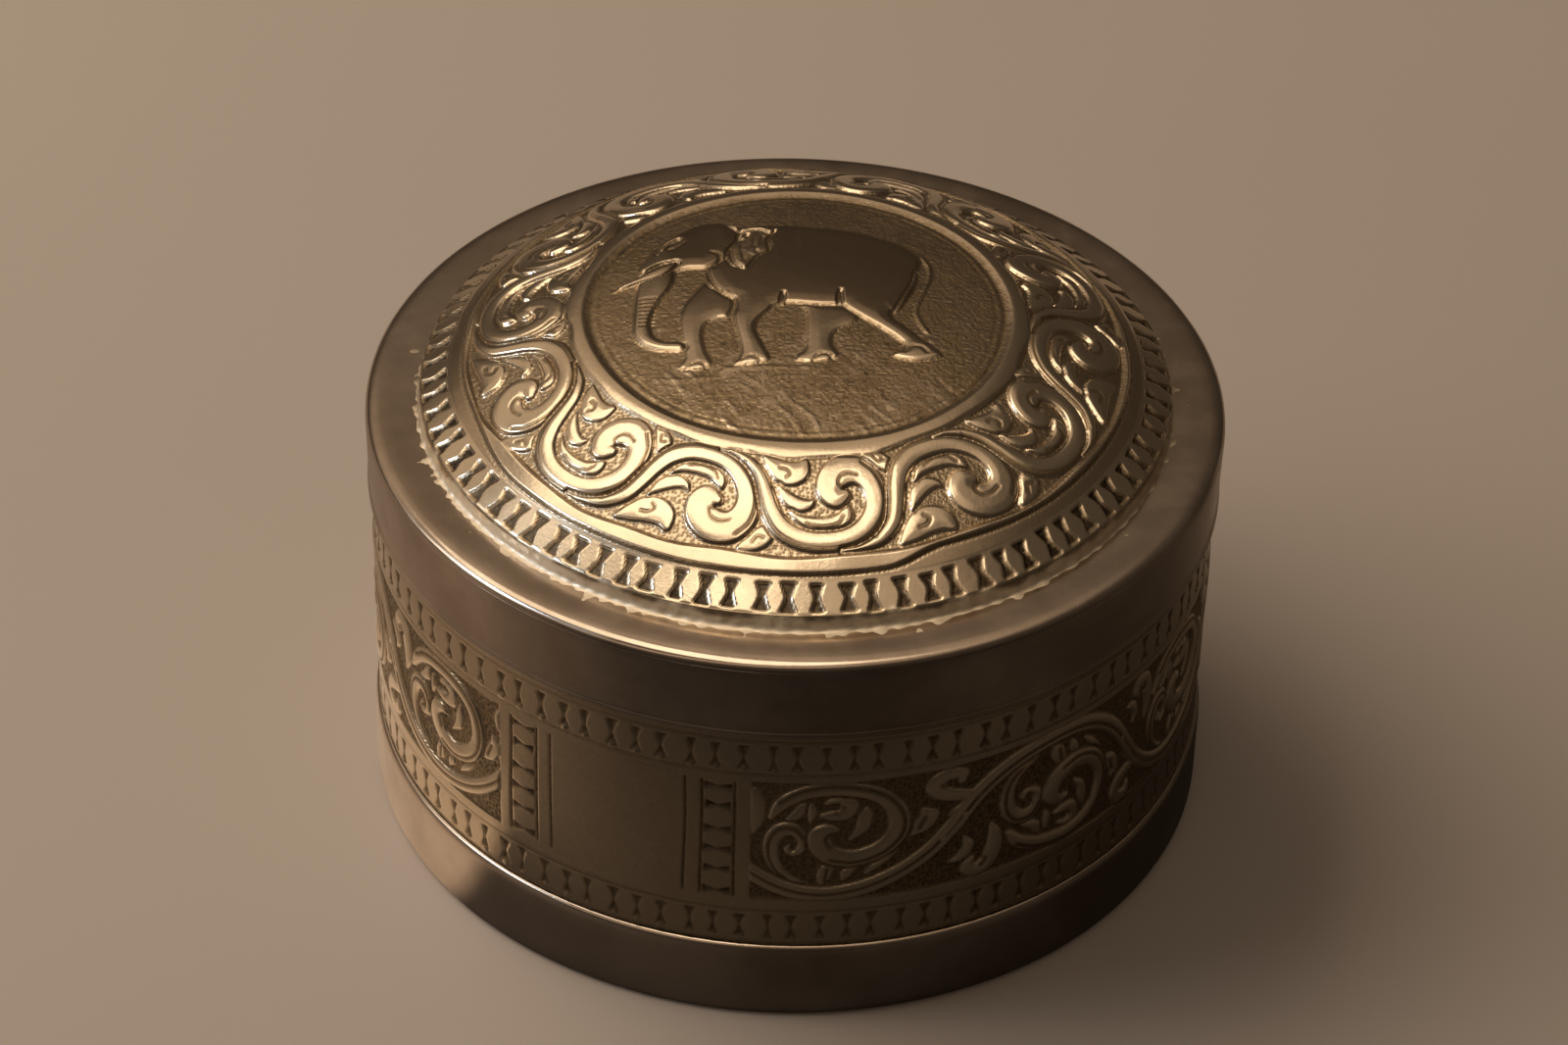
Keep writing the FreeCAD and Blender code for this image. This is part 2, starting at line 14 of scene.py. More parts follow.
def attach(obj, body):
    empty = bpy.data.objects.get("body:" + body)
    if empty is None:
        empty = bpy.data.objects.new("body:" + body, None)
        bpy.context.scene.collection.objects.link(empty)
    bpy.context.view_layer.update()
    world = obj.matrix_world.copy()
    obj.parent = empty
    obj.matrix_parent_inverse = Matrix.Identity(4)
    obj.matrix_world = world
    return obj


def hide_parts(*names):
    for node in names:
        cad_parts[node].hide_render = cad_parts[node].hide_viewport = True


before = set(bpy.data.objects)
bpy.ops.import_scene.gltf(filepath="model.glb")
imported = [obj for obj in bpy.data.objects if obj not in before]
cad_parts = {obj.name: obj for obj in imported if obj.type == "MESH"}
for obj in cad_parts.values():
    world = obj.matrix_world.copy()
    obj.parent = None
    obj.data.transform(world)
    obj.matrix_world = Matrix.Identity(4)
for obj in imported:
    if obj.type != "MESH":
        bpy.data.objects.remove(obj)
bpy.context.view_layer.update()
MM = 0.001

# %% [markdown]
# The sizes below are the ones the silversmith would measure, in millimetres: the drum,
# the plain bands and the rings of the dome, from the rim inwards. The dome rises from
# the flat rim in three parts, a sloping border, the scroll ring and a flat crown.

# %% Sizes of the box
WALL, BAND = 43.4, 44.0
FOOT_TOP, FOOT_SHEET = 9.2, 0.58
SEAT = 36.6
RIM, RIM_SHEET = 45.8, 1.0
SCENE_LOW, SCENE_HIGH = 15.1, 30.7
SCENE_MID = (SCENE_LOW + SCENE_HIGH) / 2
PANEL_EDGE, RING_OUT, SCROLL_OUT, FRAME_OUT, FIELD_OUT = 39.2, 35.2, 33.1, 23.4, 21.1
SCROLL_MID = (SCROLL_OUT + FRAME_OUT) / 2
PANEL_LIP, RING_RISE, FRAME_RISE, CROWN_RISE = 0.5, 3.75, 9.5, 11.45
DOME_BEND = 62.5
CROWN_SAG = CROWN_RISE - FRAME_RISE
CROWN_BEND = (FRAME_OUT ** 2 + CROWN_SAG ** 2) / (2 * CROWN_SAG)
SOFT_REACH, SHARP_WIDTH = 1.6, 2.2


def arc_rise(radius, inner, inner_rise, outer, outer_rise, bend):
    """Height of an arc that bulges upwards between two points of the dome."""
    run, rise = outer - inner, outer_rise - inner_rise
    chord = math.hypot(run, rise)
    drop = math.sqrt(bend ** 2 - chord ** 2 / 4)
    centre = (inner + outer) / 2 + drop * rise / chord
    centre_rise = (inner_rise + outer_rise) / 2 - drop * run / chord
    return centre_rise + np.sqrt(bend ** 2 - (radius - centre) ** 2)


def plain_rise(radius):
    """Height of the lid panel over the flat rim, with sharp breaks between its parts."""
    slope = PANEL_LIP + (PANEL_EDGE - radius) * (RING_RISE - PANEL_LIP) / (PANEL_EDGE - RING_OUT)
    on_ring = np.clip(radius, FRAME_OUT, RING_OUT)
    ring = arc_rise(on_ring, FRAME_OUT, FRAME_RISE, RING_OUT, RING_RISE, DOME_BEND)
    on_crown = np.clip(radius, 0, FRAME_OUT)
    crown = arc_rise(on_crown, 0, CROWN_RISE, FRAME_OUT, FRAME_RISE, CROWN_BEND)
    return np.where(radius > RING_OUT, slope, np.where(radius > FRAME_OUT, ring, crown))


def dome_rise(radius):
    """The same height with its breaks worked smooth, apart from the one at the border."""
    shifts = np.linspace(-SOFT_REACH, SOFT_REACH, 9)
    soft = sum(plain_rise(np.abs(radius + shift)) for shift in shifts) / len(shifts)
    sharp = plain_rise(radius)
    return np.where(radius > RING_OUT - SHARP_WIDTH, sharp, np.minimum(soft, sharp))


print("top of the crown, mm:", round(RIM + float(dome_rise(np.array(0.0))), 2))

# %% [markdown]
# Hand work is never quite even. One small function gives slow, smooth unevenness, made
# of a few sine waves with fixed phases, so that the box comes out the same every time.
# A second one gives the stippled ground, struck dot by dot with a pointed punch: each dot
# lies at a scattered place in its own small square.

# %% Unevenness of hand work
FAR = 9.0


def ease(low, high, value):
    """Smooth step from 0 to 1 between two values."""
    s = np.clip((value - low) / (high - low), 0, 1)
    return s * s * (3 - 2 * s)


def groove(away, width):
    """Rounded section of an engraved line: 1 in its middle, fading out past its width."""
    return np.exp(-((away / width) ** 2))


def unevenness(a, b, size, phase):
    """Smooth value between about -1 and 1, varying over the given size."""
    total = 0
    for k in range(5):
        turn = 2.4 * k + phase
        pace = (1 + 0.37 * k) / size
        wave = (a * math.cos(turn) + b * math.sin(turn)) * pace
        total = total + np.sin(wave + 1.7 * k + 3.1 * phase)
    return total / 3.0


def scattered(i, j):
    """Fixed value between 0 and 1 for each pair of whole numbers."""
    value = np.sin(i * 127.1 + j * 311.7) * 43758.5453
    return value - np.floor(value)


def stippling(a, b, size):
    """Field of small struck dots at scattered places: 1 in the dots, 0 between them."""
    i, j = np.floor(a / size), np.floor(b / size)
    nearest = np.full(a.shape, FAR)
    for di in (-1, 0, 1):
        for dj in (-1, 0, 1):
            x = (i + di + 0.15 + 0.7 * scattered(i + di, j + dj)) * size
            y = (j + dj + 0.15 + 0.7 * scattered(i + di + 57, j + dj + 13)) * size
            nearest = np.minimum(nearest, np.hypot(a - x, b - y))
    return ease(0.55 * size, 0.15 * size, nearest)


print("unevenness over a 40 mm line:", np.round(unevenness(np.arange(0, 40, 10.0), 0.0, 9, 1), 2))

# %% [markdown]
# Chasing is drawn in strokes: a stem, a curl or a leaf is a line that swells and thins.
# A stroke is given by a few stations along it, each with its place and half width, and
# a smooth curve is passed through them. Laying a stroke raises the metal inside it,
# rolls its edges over and cuts a fine outline round it, which parts it from the stroke
# below, as the chaser's tracer does. Flat figures, such as the animal's body, are laid
# the same way from an outline.

# %% Chased strokes
def passed_through(stations, closed=False, fine=7):
    """Smooth curve through stations, as dense points."""
    knots = np.array(stations, float)
    if closed:
        padded = np.vstack([knots[-1:], knots, knots[:2]])
    else:
        padded = np.vstack([2 * knots[0] - knots[1], knots, 2 * knots[-1] - knots[-2]])
    points = []
    for p0, p1, p2, p3 in zip(padded, padded[1:], padded[2:], padded[3:]):
        for s in np.arange(fine) / fine:
            bend = (2 * p0 - 5 * p1 + 4 * p2 - p3) * s * s + (3 * p1 - p0 - 3 * p2 + p3) * s ** 3
            points.append(p1 + 0.5 * ((p2 - p0) * s + bend))
    points.append(points[0] if closed else knots[-1])
    return np.array(points)


def from_run(start, end, x, y):
    """Share of the way along a straight run, and the distance to it."""
    way = end[:2] - start[:2]
    along = ((x - start[0]) * way[0] + (y - start[1]) * way[1]) / max(way @ way, 1e-9)
    along = np.clip(along, 0, 1)
    return along, np.hypot(x - start[0] - along * way[0], y - start[1] - along * way[1])


def depth_in_stroke(line, x, y):
    """Half width less the distance to the line: positive inside the stroke."""
    depth = np.full(x.shape, -FAR)
    for start, end in zip(line, line[1:]):
        along, away = from_run(start, end, x, y)
        depth = np.maximum(depth, start[2] + along * (end[2] - start[2]) - away)
    return depth


def depth_in_outline(line, x, y):
    """Distance to a closed outline: positive inside it."""
    nearest = np.full(x.shape, FAR)
    inside = np.zeros(x.shape, bool)
    for start, end in zip(line, line[1:]):
        way = end - start
        nearest = np.minimum(nearest, from_run(start, end, x, y)[1])
        if way[1] != 0:
            crosses = (start[1] > y) != (end[1] > y)
            inside ^= crosses & (x < start[0] + (y - start[1]) * way[0] / way[1])
    return np.where(inside, nearest, -nearest)


def beside(stations, share):
    """Line that runs along a stroke, at a share of its half width to the left."""
    knots = np.array(stations)
    way = np.gradient(knots[:, :2], axis=0)
    way = way / np.hypot(way[:, :1], way[:, 1:])
    return knots[:, :2] + share * knots[:, 2:] * np.stack([-way[:, 1], way[:, 0]], axis=1)


class Chasing:
    """Raised work on a flat drawing of a surface: height in millimetres and polish."""

    ROOM = 2.4
    POLISH_EDGE = 0.7
    CUT_GRIME = 0.75

    def __init__(self, x, y):
        self.x, self.y = x, y
        self.height = np.zeros(x.shape)
        self.polish = np.zeros(x.shape)

    def near(self, line, room):
        """Which points of the surface lie in the box round a line."""
        low, high = line[:, :2].min(0) - room, line[:, :2].max(0) + room
        return (self.x > low[0]) & (self.x < high[0]) & (self.y > low[1]) & (self.y < high[1])

    def lay(self, parts, height, edge=0.42, outline=0.3, swell=0.3):
        """Raise one or more strokes or outlines together, as one piece of metal."""
        lines = [passed_through(part, closed=len(part[0]) == 2) for part in parts]
        here = self.near(np.vstack([line[:, :2] for line in lines]), self.ROOM)
        x, y = self.x[here], self.y[here]
        depth = np.full(x.shape, -FAR)
        for line in lines:
            find = depth_in_outline if line.shape[1] == 2 else depth_in_stroke
            depth = np.maximum(depth, find(line, x, y))
        parted = ease(0, outline, -depth)
        body = ease(0, edge, depth) * (1 - swell + swell * ease(0, 3 * edge, depth))
        shine = ease(0.0, self.POLISH_EDGE * edge, depth)
        self.height[here] = np.maximum(self.height[here] * parted, height * body)
        self.polish[here] = np.maximum(self.polish[here] * parted, shine)

    def cut(self, stations, depth, width=0.22):
        """Sink a fine line, in which the polish is lost too."""
        line = passed_through([(a, b, 0.0) for a, b in stations])
        here = self.near(line, 3 * width)
        notch = groove(-depth_in_stroke(line, self.x[here], self.y[here]), width)
        self.height[here] -= depth * notch
        self.polish[here] *= 1 - self.CUT_GRIME * notch


print("a stroke of three stations has", len(passed_through([(0, 0, 1), (2, 1, 1), (4, 0, 1)])), "points")

# %% [markdown]
# A silversmith makes a band from a flat strip, bent round and soldered end to end. The
# pieces are made the same way: a flat grid is created, its rows are laid along an outline
# of radius and height, and its columns are bent round the axis. The ends meet and are
# merged like a soldered seam. Spin would do it too, but it is slow with so many steps.

# %% Bend a strip round the axis
def bent_round(outline, steps, start=0.0, turn=2 * math.pi):
    """Mesh data of an outline of (radius, height) carried round the axis."""
    work = bmesh.new()
    rows = len(outline) - 1
    bmesh.ops.create_grid(work, x_segments=steps, y_segments=rows, size=0.5)
    flat = places(work)
    angle = start + turn * (flat[:, 0] + 0.5)
    line = np.array(outline)[np.rint((flat[:, 1] + 0.5) * rows).astype(int)]
    move(work, np.stack([*on_circle(line[:, 0], angle), line[:, 1]], axis=1))
    bmesh.ops.remove_doubles(work, verts=work.verts, dist=1e-4)
    bmesh.ops.recalc_face_normals(work, faces=work.faces)
    return work


def on_circle(radius, angle):
    """Two coordinates of points at a radius and an angle."""
    return radius * np.cos(angle), radius * np.sin(angle)


def polar(points):
    """Angle and radius of each point."""
    return np.arctan2(points[:, 1], points[:, 0]), np.hypot(points[:, 0], points[:, 1])


def places(work):
    """Coordinates of a mesh's points, one row each."""
    return np.array([v.co[:] for v in work.verts])


def move(work, points):
    """Put the points of a mesh at new coordinates."""
    for vert, point in zip(work.verts, points.tolist()):
        vert.co = point


pieces = []


def finished(name, work, body, node, slot, outward=None, **marks):
    """Object from mesh data in millimetres, smooth, riding on its body.
    Marks are values on its points, for its finish to read."""
    if outward is not None:
        if sum(f.normal.dot(outward(f.calc_center_median())) for f in work.faces) < 0:
            bmesh.ops.reverse_faces(work, faces=work.faces)
    bmesh.ops.scale(work, vec=(MM, MM, MM), verts=work.verts)
    mesh = bpy.data.meshes.new(name)
    work.to_mesh(mesh)
    work.free()
    mesh.polygons.foreach_set("use_smooth", [True] * len(mesh.polygons))
    piece = bpy.data.objects.new(name, mesh)
    bpy.context.collection.objects.link(piece)
    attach(piece, body)
    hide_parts(node)
    for key, values in marks.items():
        field = mesh.attributes.new(key, "FLOAT", "POINT")
        field.data.foreach_set("value", np.clip(values, 0, 1).astype(np.float32))
    pieces.append((piece, slot))
    print(name, len(mesh.polygons), "faces")


def upward(point):
    return Vector((0, 0, 1))


def downward(point):
    return Vector((0, 0, -1))


def away_from_axis(point):
    return Vector((point.x, point.y, 0)).normalized()


trial = bent_round([(WALL, 0.0), (WALL, 1.0)], 12)
print("a strip bent round in 12 steps has", len(trial.verts), "points and", len(trial.faces), "faces")
trial.free()

# %% [markdown]
# The plain bands come first: the foot band with its turned-in lip, the lid's collar and
# flat rim, the hidden bezel and the base plate. On the real box their edges are rounded
# by years of polishing, so every corner of the outline is drawn as a small arc, and the
# sheet is let to wander by a few hundredths of a millimetre.

# %% Plain bands
def rounded(corners, fine=5):
    """Closed outline of (radius, height, rounding) corners, with each corner an arc.
    A second rounding makes the arc longer on the side that follows."""
    points = []
    count = len(corners)
    for k in range(count):
        here = Vector(corners[k][:2])
        before = (Vector(corners[k - 1][:2]) - here).normalized()
        after = (Vector(corners[(k + 1) % count][:2]) - here).normalized()
        for s in range(fine + 1):
            u = s / fine
            points.append(here + before * corners[k][2] * (1 - u) ** 2 + after * corners[k][-1] * u ** 2)
    return [(p.x, p.y) for p in points + points[:1]]


def spaced(outline, reach=1.2):
    """The same outline with no stretch longer than reach, so that flat faces shade flat."""
    points = outline[:1]
    for start, end in zip(outline, outline[1:]):
        parts = max(1, math.ceil(math.dist(start, end) / reach))
        for k in range(1, parts + 1):
            points.append(tuple(s + (e - s) * k / parts for s, e in zip(start, end)))
    return points


def plain_band(name, corners, body, slot, wander, steps=256):
    """Smooth band in the place of the solid of the same name."""
    work = bent_round(spaced(rounded(corners)), steps)
    points = places(work)
    angle, radius = polar(points)
    shift = wander * unevenness(30 * np.cos(angle) + points[:, 2], 30 * np.sin(angle), 9, len(name))
    points[:, 0], points[:, 1] = on_circle(radius - np.abs(shift), angle)
    move(work, points)
    finished(name, work, body, name, slot)


LIP_IN, LIP_ROUND = 39.5, 0.25
SOLDER = 0.03
COLLAR_IN, RIM_IN = 42.8, 37.0
BEAD_TOP, BEAD_SINK = 0.5, 0.14
BEZEL_IN, BEZEL_OUT, BEZEL_DEPTH, BEZEL_RISE = 42.08, 42.68, 5, 7
BASE_TOP = 1.38
plain_band("foot_band", [
    (LIP_IN, 0, LIP_ROUND), (BAND, 0, 1.1), (BAND, FOOT_TOP, 1.3, 0.5),
    (WALL + SOLDER, FOOT_TOP, 0.05), (WALL + SOLDER, FOOT_SHEET, 0.05),
    (LIP_IN, FOOT_SHEET, LIP_ROUND),
], "box", "plain_silver", 0.05)
plain_band("lid_collar", [
    (COLLAR_IN, SEAT, 0.1), (BAND, SEAT, 0.2), (BAND, SEAT + BEAD_TOP, 0.1),
    (BAND - BEAD_SINK, SEAT + 0.75, 0.15), (BAND, RIM - RIM_SHEET, 0.02),
    (COLLAR_IN, RIM - RIM_SHEET, 0.05),
], "lid", "plain_silver", 0.03)
plain_band("lid_rim", [
    (RIM_IN, RIM - RIM_SHEET, 0.1), (BAND, RIM - RIM_SHEET, 0.02),
    (BAND, RIM, 0.95, 1.5), (RIM_IN, RIM, 0.1),
], "lid", "plain_silver", 0.03)
plain_band("inner_bezel", [
    (BEZEL_IN, SEAT - BEZEL_DEPTH, 0.1), (BEZEL_OUT, SEAT - BEZEL_DEPTH, 0.05),
    (BEZEL_OUT, SEAT + BEZEL_RISE, 0.3), (BEZEL_IN, SEAT + BEZEL_RISE, 0.2),
], "box", "inner_silver", 0.0)
plain_band("base_plate", [
    (0.0, FOOT_SHEET, 0.0), (BEZEL_OUT, FOOT_SHEET, 0.1),
    (BEZEL_OUT, BASE_TOP, 0.1), (0.0, BASE_TOP, 0.0),
], "box", "inner_silver", 0.0)

# %% [markdown]
# Both struck borders, on the lid and on the drum, are made with one hourglass punch.
# Each blow sinks two flared ends joined by a narrow waist, and the metal left between
# two blows is a flat, barrel-shaped land. The drum's punch also throws up a little pearl
# of metal at the lower end of each mark. The function works on places along and across
# a border.

# %% Struck border
Punch = namedtuple("Punch", "pitch half depth waist flare dark count")


def struck_marks(along, across, punch, pearl=0.0):
    """Height and polish of a border: 0 on the lands, below it in the marks."""
    number = np.round(along / punch.pitch)
    x = along - number * punch.pitch
    number = number % punch.count
    x = x + 0.07 * punch.pitch * np.sin(2.3 * number)
    y = across / (punch.half * (1 + 0.07 * np.sin(1.9 * number + 1)))
    width = punch.waist + punch.flare * np.minimum(np.abs(y), 1) ** 1.3
    reach = punch.pitch * width * (1 + 0.12 * np.sin(3.7 * number))
    inside = ease(-0.1, 0.13, reach - np.abs(x)) * ease(1.16, 0.96, np.abs(y))
    bead = np.exp(-((x / 0.3) ** 2) - ((across + punch.half + 0.12) / 0.3) ** 2) if pearl else 0.0
    return pearl * bead - punch.depth * inside, np.maximum(1 - punch.dark * inside, bead)


LADDER_PUNCH = Punch(pitch=2.75, half=1.3, depth=0.16, waist=0.03, flare=0.15, dark=0.8, count=99)
lowest = struck_marks(np.zeros(9), np.linspace(-1, 1, 9), LADDER_PUNCH)[0].min()
print("deepest mark, mm:", round(float(lowest), 2))

# %% [markdown]
# The drum carries one blank cartouche, left of the front, between ladder-struck bars,
# and a running scroll that fills the rest of the way round. The scroll is one wave
# stem with a volute in each crest and each trough; a trough is a crest turned upside
# down. The strokes of one crest are listed here, in millimetres from its middle.

# %% Strokes of the drum's scroll
CREST_STEM = [
    (-11.7, -0.9, 0.8), (-11.05, 0.0, 0.88), (-9.0, 2.8, 0.92), (-6.4, 5.0, 0.95), (-3.4, 6.4, 0.95),
    (0.0, 6.9, 0.95), (3.4, 6.4, 0.95), (6.4, 5.0, 0.92), (9.0, 2.8, 0.9), (11.05, 0.0, 0.88),
    (11.7, -0.9, 0.8)]
CREST_SPIRAL = [
    (-5.6, -3.2, 0.4), (-4.5, -4.9, 0.75), (-2.7, -6.1, 0.82), (-0.6, -6.6, 0.85), (1.7, -6.6, 0.85),
    (4.1, -5.9, 0.85), (5.7, -4.4, 0.85), (6.4, -2.1, 0.88), (6.0, 0.0, 0.95), (4.6, 1.6, 1.0),
    (2.5, 2.3, 1.05), (0.5, 1.8, 1.1), (-0.6, 0.5, 1.15), (-0.7, -0.9, 1.0), (0.1, -1.6, 0.7),
    (1.0, -1.5, 0.35)]
CREST_HOOK = [
    (-2.1, 5.6, 0.3), (-4.0, 4.6, 0.55), (-5.2, 3.2, 0.66), (-5.7, 1.4, 0.75), (-5.5, -0.4, 0.82),
    (-4.6, -1.6, 0.85), (-3.3, -1.6, 0.78), (-2.5, -0.5, 0.62), (-2.6, 0.8, 0.52), (-3.5, 1.4, 0.42),
    (-4.1, 0.9, 0.35), (-3.8, 0.3, 0.25)]
CREST = [
    (0.28, [(-7.4, -1.2, 0.3), (-7.0, -2.8, 0.7), (-7.1, -4.6, 0.9), (-7.7, -6.1, 0.95), (-8.9, -6.7, 0.85),
            (-9.6, -5.9, 0.7), (-9.3, -5.0, 0.45)]),
    (0.26, [(-10.0, -1.9, 0.25), (-9.6, -3.2, 0.6), (-10.3, -4.3, 0.6), (-11.3, -4.6, 0.25)]),
    (0.28, [(13.4, -3.5, 0.4), (11.9, -3.8, 0.75), (10.2, -4.5, 0.85), (9.4, -5.8, 0.85), (10.3, -6.9, 0.8),
            (11.8, -6.7, 0.7), (11.9, -5.8, 0.45)]),
    (0.28, [(7.5, 0.2, 0.3), (8.3, -0.8, 0.85), (8.9, -2.0, 0.8), (8.4, -3.0, 0.3)]),
    (0.26, [(10.5, -0.6, 0.25), (11.1, -1.5, 0.55), (11.6, -2.4, 0.3)]),
    (0.3, [(-0.7, -3.4, 0.3), (0.6, -3.3, 0.65), (1.8, -3.6, 0.8), (2.1, -4.7, 0.75), (1.2, -5.3, 0.55),
           (0.0, -4.9, 0.3)]),
    (0.28, [(-4.0, -2.9, 0.3), (-3.0, -3.5, 0.6), (-2.4, -4.4, 0.6), (-2.6, -5.2, 0.25)]),
    (0.28, [(-1.6, -2.5, 0.25), (-1.4, -3.6, 0.5), (-1.5, -4.7, 0.3)]),
    (0.3, [(2.2, -0.2, 0.25), (3.2, -1.4, 0.6), (3.5, -2.8, 0.65), (3.6, -4.0, 0.3)]),
    (0.32, [(-0.7, 5.5, 0.3), (-0.3, 4.5, 0.75), (0.1, 3.4, 0.65), (0.8, 2.6, 0.3)]),
    (0.3, [(1.5, 5.1, 0.3), (1.9, 4.2, 0.6), (2.5, 3.5, 0.3)]),
    (0.3, [(3.6, 4.5, 0.3), (4.7, 3.4, 0.5), (6.0, 2.2, 0.3)]),
    (0.36, CREST_HOOK), (0.38, CREST_STEM), (0.38, CREST_SPIRAL),
]
CREST_CUTS = [
    beside(CREST_STEM, -0.1), beside(CREST_SPIRAL[1:12], -0.45), beside(CREST_HOOK[1:8], -0.35),
    [(-8.9, -5.6), (-8.4, -5.1), (-7.9, -5.6), (-8.3, -6.2)], [(11.2, -6.0), (10.6, -5.4), (10.0, -5.7)],
    [(-0.2, 5.0), (0.0, 3.6)], [(8.0, -0.6), (8.5, -2.0)], [(1.0, -3.8), (1.6, -4.4)],
    [(0.3, 0.6), (-0.1, -0.4), (0.4, -1.0)],
]
HALF_PITCH, LEAF_WIDTH = 11.05, 1.2
CARTOUCHE, FRAME_HALF = math.radians(-112.6), math.radians(18.4)
FIRST_VOLUTES, STEADY_TURN = [10.1, 43.3, 69.3], 30.2
VOLUTES = np.radians(FIRST_VOLUTES + [FIRST_VOLUTES[-1] + STEADY_TURN * k for k in range(1, 9)])
print(len(VOLUTES), "volutes, gaps in degrees:", np.round(np.degrees(np.diff(VOLUTES)), 1))

# %% [markdown]
# The chased zone of the drum is worked out on the flat first: every point gets its
# distance along the scroll, folded into one volute, and its height above the middle.
# The frame of the cartouche is drawn over it. The ground between the strokes is stippled
# with fine dots, which stay dark where polish never reaches.

# %% Chased work of the drum
LADDER_MID, LADDER_START = 10.65, 1.4
FRAME_LINES, LINE_WIDTH = ((7.3, 0.12), (9.0, 0.16), (12.3, 0.16)), 0.13
BLANK_RISE, BLANK_POLISH = 0.1, 0.8
DRUM_WEAR, DRUM_DOT = 0.85, 0.48
ZONE_OUT, ZONE_IN = 7.8, 7.45
VOLUTE_REACH = 14


def drum_frame(along, across):
    """Height and polish of the blank cartouche, its engraved lines and its ladders."""
    side = np.abs(along) + 0.1 * unevenness(across, along, 5, 2)
    height = BLANK_RISE + 0.012 * unevenness(along, across, 3, 5)
    polish = np.full(along.shape, BLANK_POLISH)
    marks, shine = struck_marks(across + LADDER_START, side - LADDER_MID, LADDER_PUNCH)
    ladder = ease(1.6, 1.5, np.abs(side - LADDER_MID)) * ease(7.4, 7.2, np.abs(across))
    height, polish = height + marks * ladder, polish * (1 - ladder * (1 - shine))
    for place, deep in FRAME_LINES:
        line = groove(side - place, LINE_WIDTH) * ease(7.6, 7.3, np.abs(across))
        height, polish = height - deep * line, polish * (1 - 0.9 * line)
    return height, polish


def drum_scroll(past, z):
    """Height and polish of the running scroll alone, over its bare ground."""
    sway = 0.3 * unevenness(past * WALL, z, 7, 3)
    lift = 0.22 * unevenness(past * WALL, z, 6, 8)
    end_gap = [2 * HALF_PITCH / WALL]
    gaps = np.concatenate([end_gap, np.diff(VOLUTES), end_gap])
    height, polish = np.zeros(z.shape), np.zeros(z.shape)
    for number, middle in enumerate(VOLUTES):
        gap = np.where(past < middle, gaps[number], gaps[number + 1])
        along = (past - middle) * 2 * HALF_PITCH / gap
        here = np.abs(along) < VOLUTE_REACH
        crest = 1 if number % 2 else -1
        work = Chasing((along + sway)[here], crest * (z - SCENE_MID)[here] + lift[here])
        for rise, stations in CREST:
            work.lay([[(a, b, w * LEAF_WIDTH) for a, b, w in stations]], DRUM_WEAR * rise)
        for stations in CREST_CUTS:
            work.cut(stations, 0.12, 0.2)
        height[here] = np.maximum(height[here], work.height)
        polish[here] = np.maximum(polish[here], work.polish)
    return height, polish


def drum_relief(angle, z):
    """Height and polish all over the chased zone of the drum."""
    around = (angle - CARTOUCHE + math.pi) % (2 * math.pi) - math.pi
    past = np.where(around < FRAME_HALF, around + 2 * math.pi, around) - FRAME_HALF
    height, polish = drum_scroll(past, z)
    edge = ease(ZONE_OUT, ZONE_IN, np.abs(z - SCENE_MID + 0.12 * unevenness(past * WALL, z, 8, 1)))
    ground = (1 - ease(0.0, 0.14, height)) * edge
    dots = stippling(past * WALL, z, DRUM_DOT)
    height = height * edge - ground * (0.05 + 0.07 * dots) + BLANK_RISE * (1 - edge)
    polish = polish * edge + ground * (0.45 - 0.27 * dots) + BLANK_POLISH * (1 - edge)
    framed = ease(0.1, -0.1, (np.abs(around) - FRAME_HALF) * WALL)
    frame_height, frame_polish = drum_frame(around * WALL, z - SCENE_MID)
    return height * (1 - framed) + frame_height * framed, polish * (1 - framed) + frame_polish * framed


trial_height = drum_relief(np.linspace(-2.0, 0.0, 400), np.full(400, SCENE_MID))[0]
print("relief along the middle of the front, mm:", round(float(np.ptp(trial_height)), 2))

# %% [markdown]
# The drum is bent round in lengths: a struck border below, the chased zone in two half
# turns, and a struck border above. Each keeps well under the limit of triangles for one
# piece. The points are then moved in or out along the radius by the chased height.

# %% Make the drum
CHAIN_COUNT = 102
CHAIN_PUNCH = Punch(
    pitch=2 * math.pi * WALL / CHAIN_COUNT, half=1.4, depth=0.16, waist=0.03, flare=0.17, dark=0.7,
    count=CHAIN_COUNT)
CHAIN_LOW, CHAIN_HIGH, CHAIN_LINE = 11.7, 33.7, 2.1
PEARL = 0.16
DRUM_FOOT, LINING = 8.2, 42.7


def drum_length(name, low, high, rows, steps, start, turn, relief):
    """One length of the drum, chased by a relief of angle and height."""
    outline = [(WALL - 0.35, low + (high - low) * k / rows) for k in range(rows + 1)]
    work = bent_round(outline, steps, start, turn)
    points = places(work)
    angle = polar(points)[0]
    height, polish = relief(angle, points[:, 2])
    points[:, 0], points[:, 1] = on_circle(WALL + height, angle)
    move(work, points)
    finished(name, work, "box", "body_wall", "chased_silver", away_from_axis, polish=polish)


def drum_border(angle, z):
    """Height and polish of a struck border between two engraved lines, with painted shade just under the
    collar and just above the foot.
    """
    middle = CHAIN_LOW if z.mean() < SCENE_MID else CHAIN_HIGH
    x, y = on_circle(WALL, angle)
    along = angle * WALL + 0.15 * unevenness(x + z, y, 11, 6)
    across = z - middle + 0.1 * unevenness(x, y + z, 13, 7)
    height, polish = struck_marks(along, across, CHAIN_PUNCH, PEARL)
    lines = groove(np.abs(across) - CHAIN_LINE, LINE_WIDTH)
    # Painted shade: polish is taken away just under the lid's collar and just above the foot's lip, where
    # shade falls between the parts.
    painted_shade_at_bands = ease(SEAT - 0.5, SEAT - 0.1, z) + ease(FOOT_TOP + 0.5, FOOT_TOP + 0.1, z)
    return BLANK_RISE + height - 0.05 * lines, polish * (1 - 0.35 * lines) * 0.82 * (1 - painted_shade_at_bands)


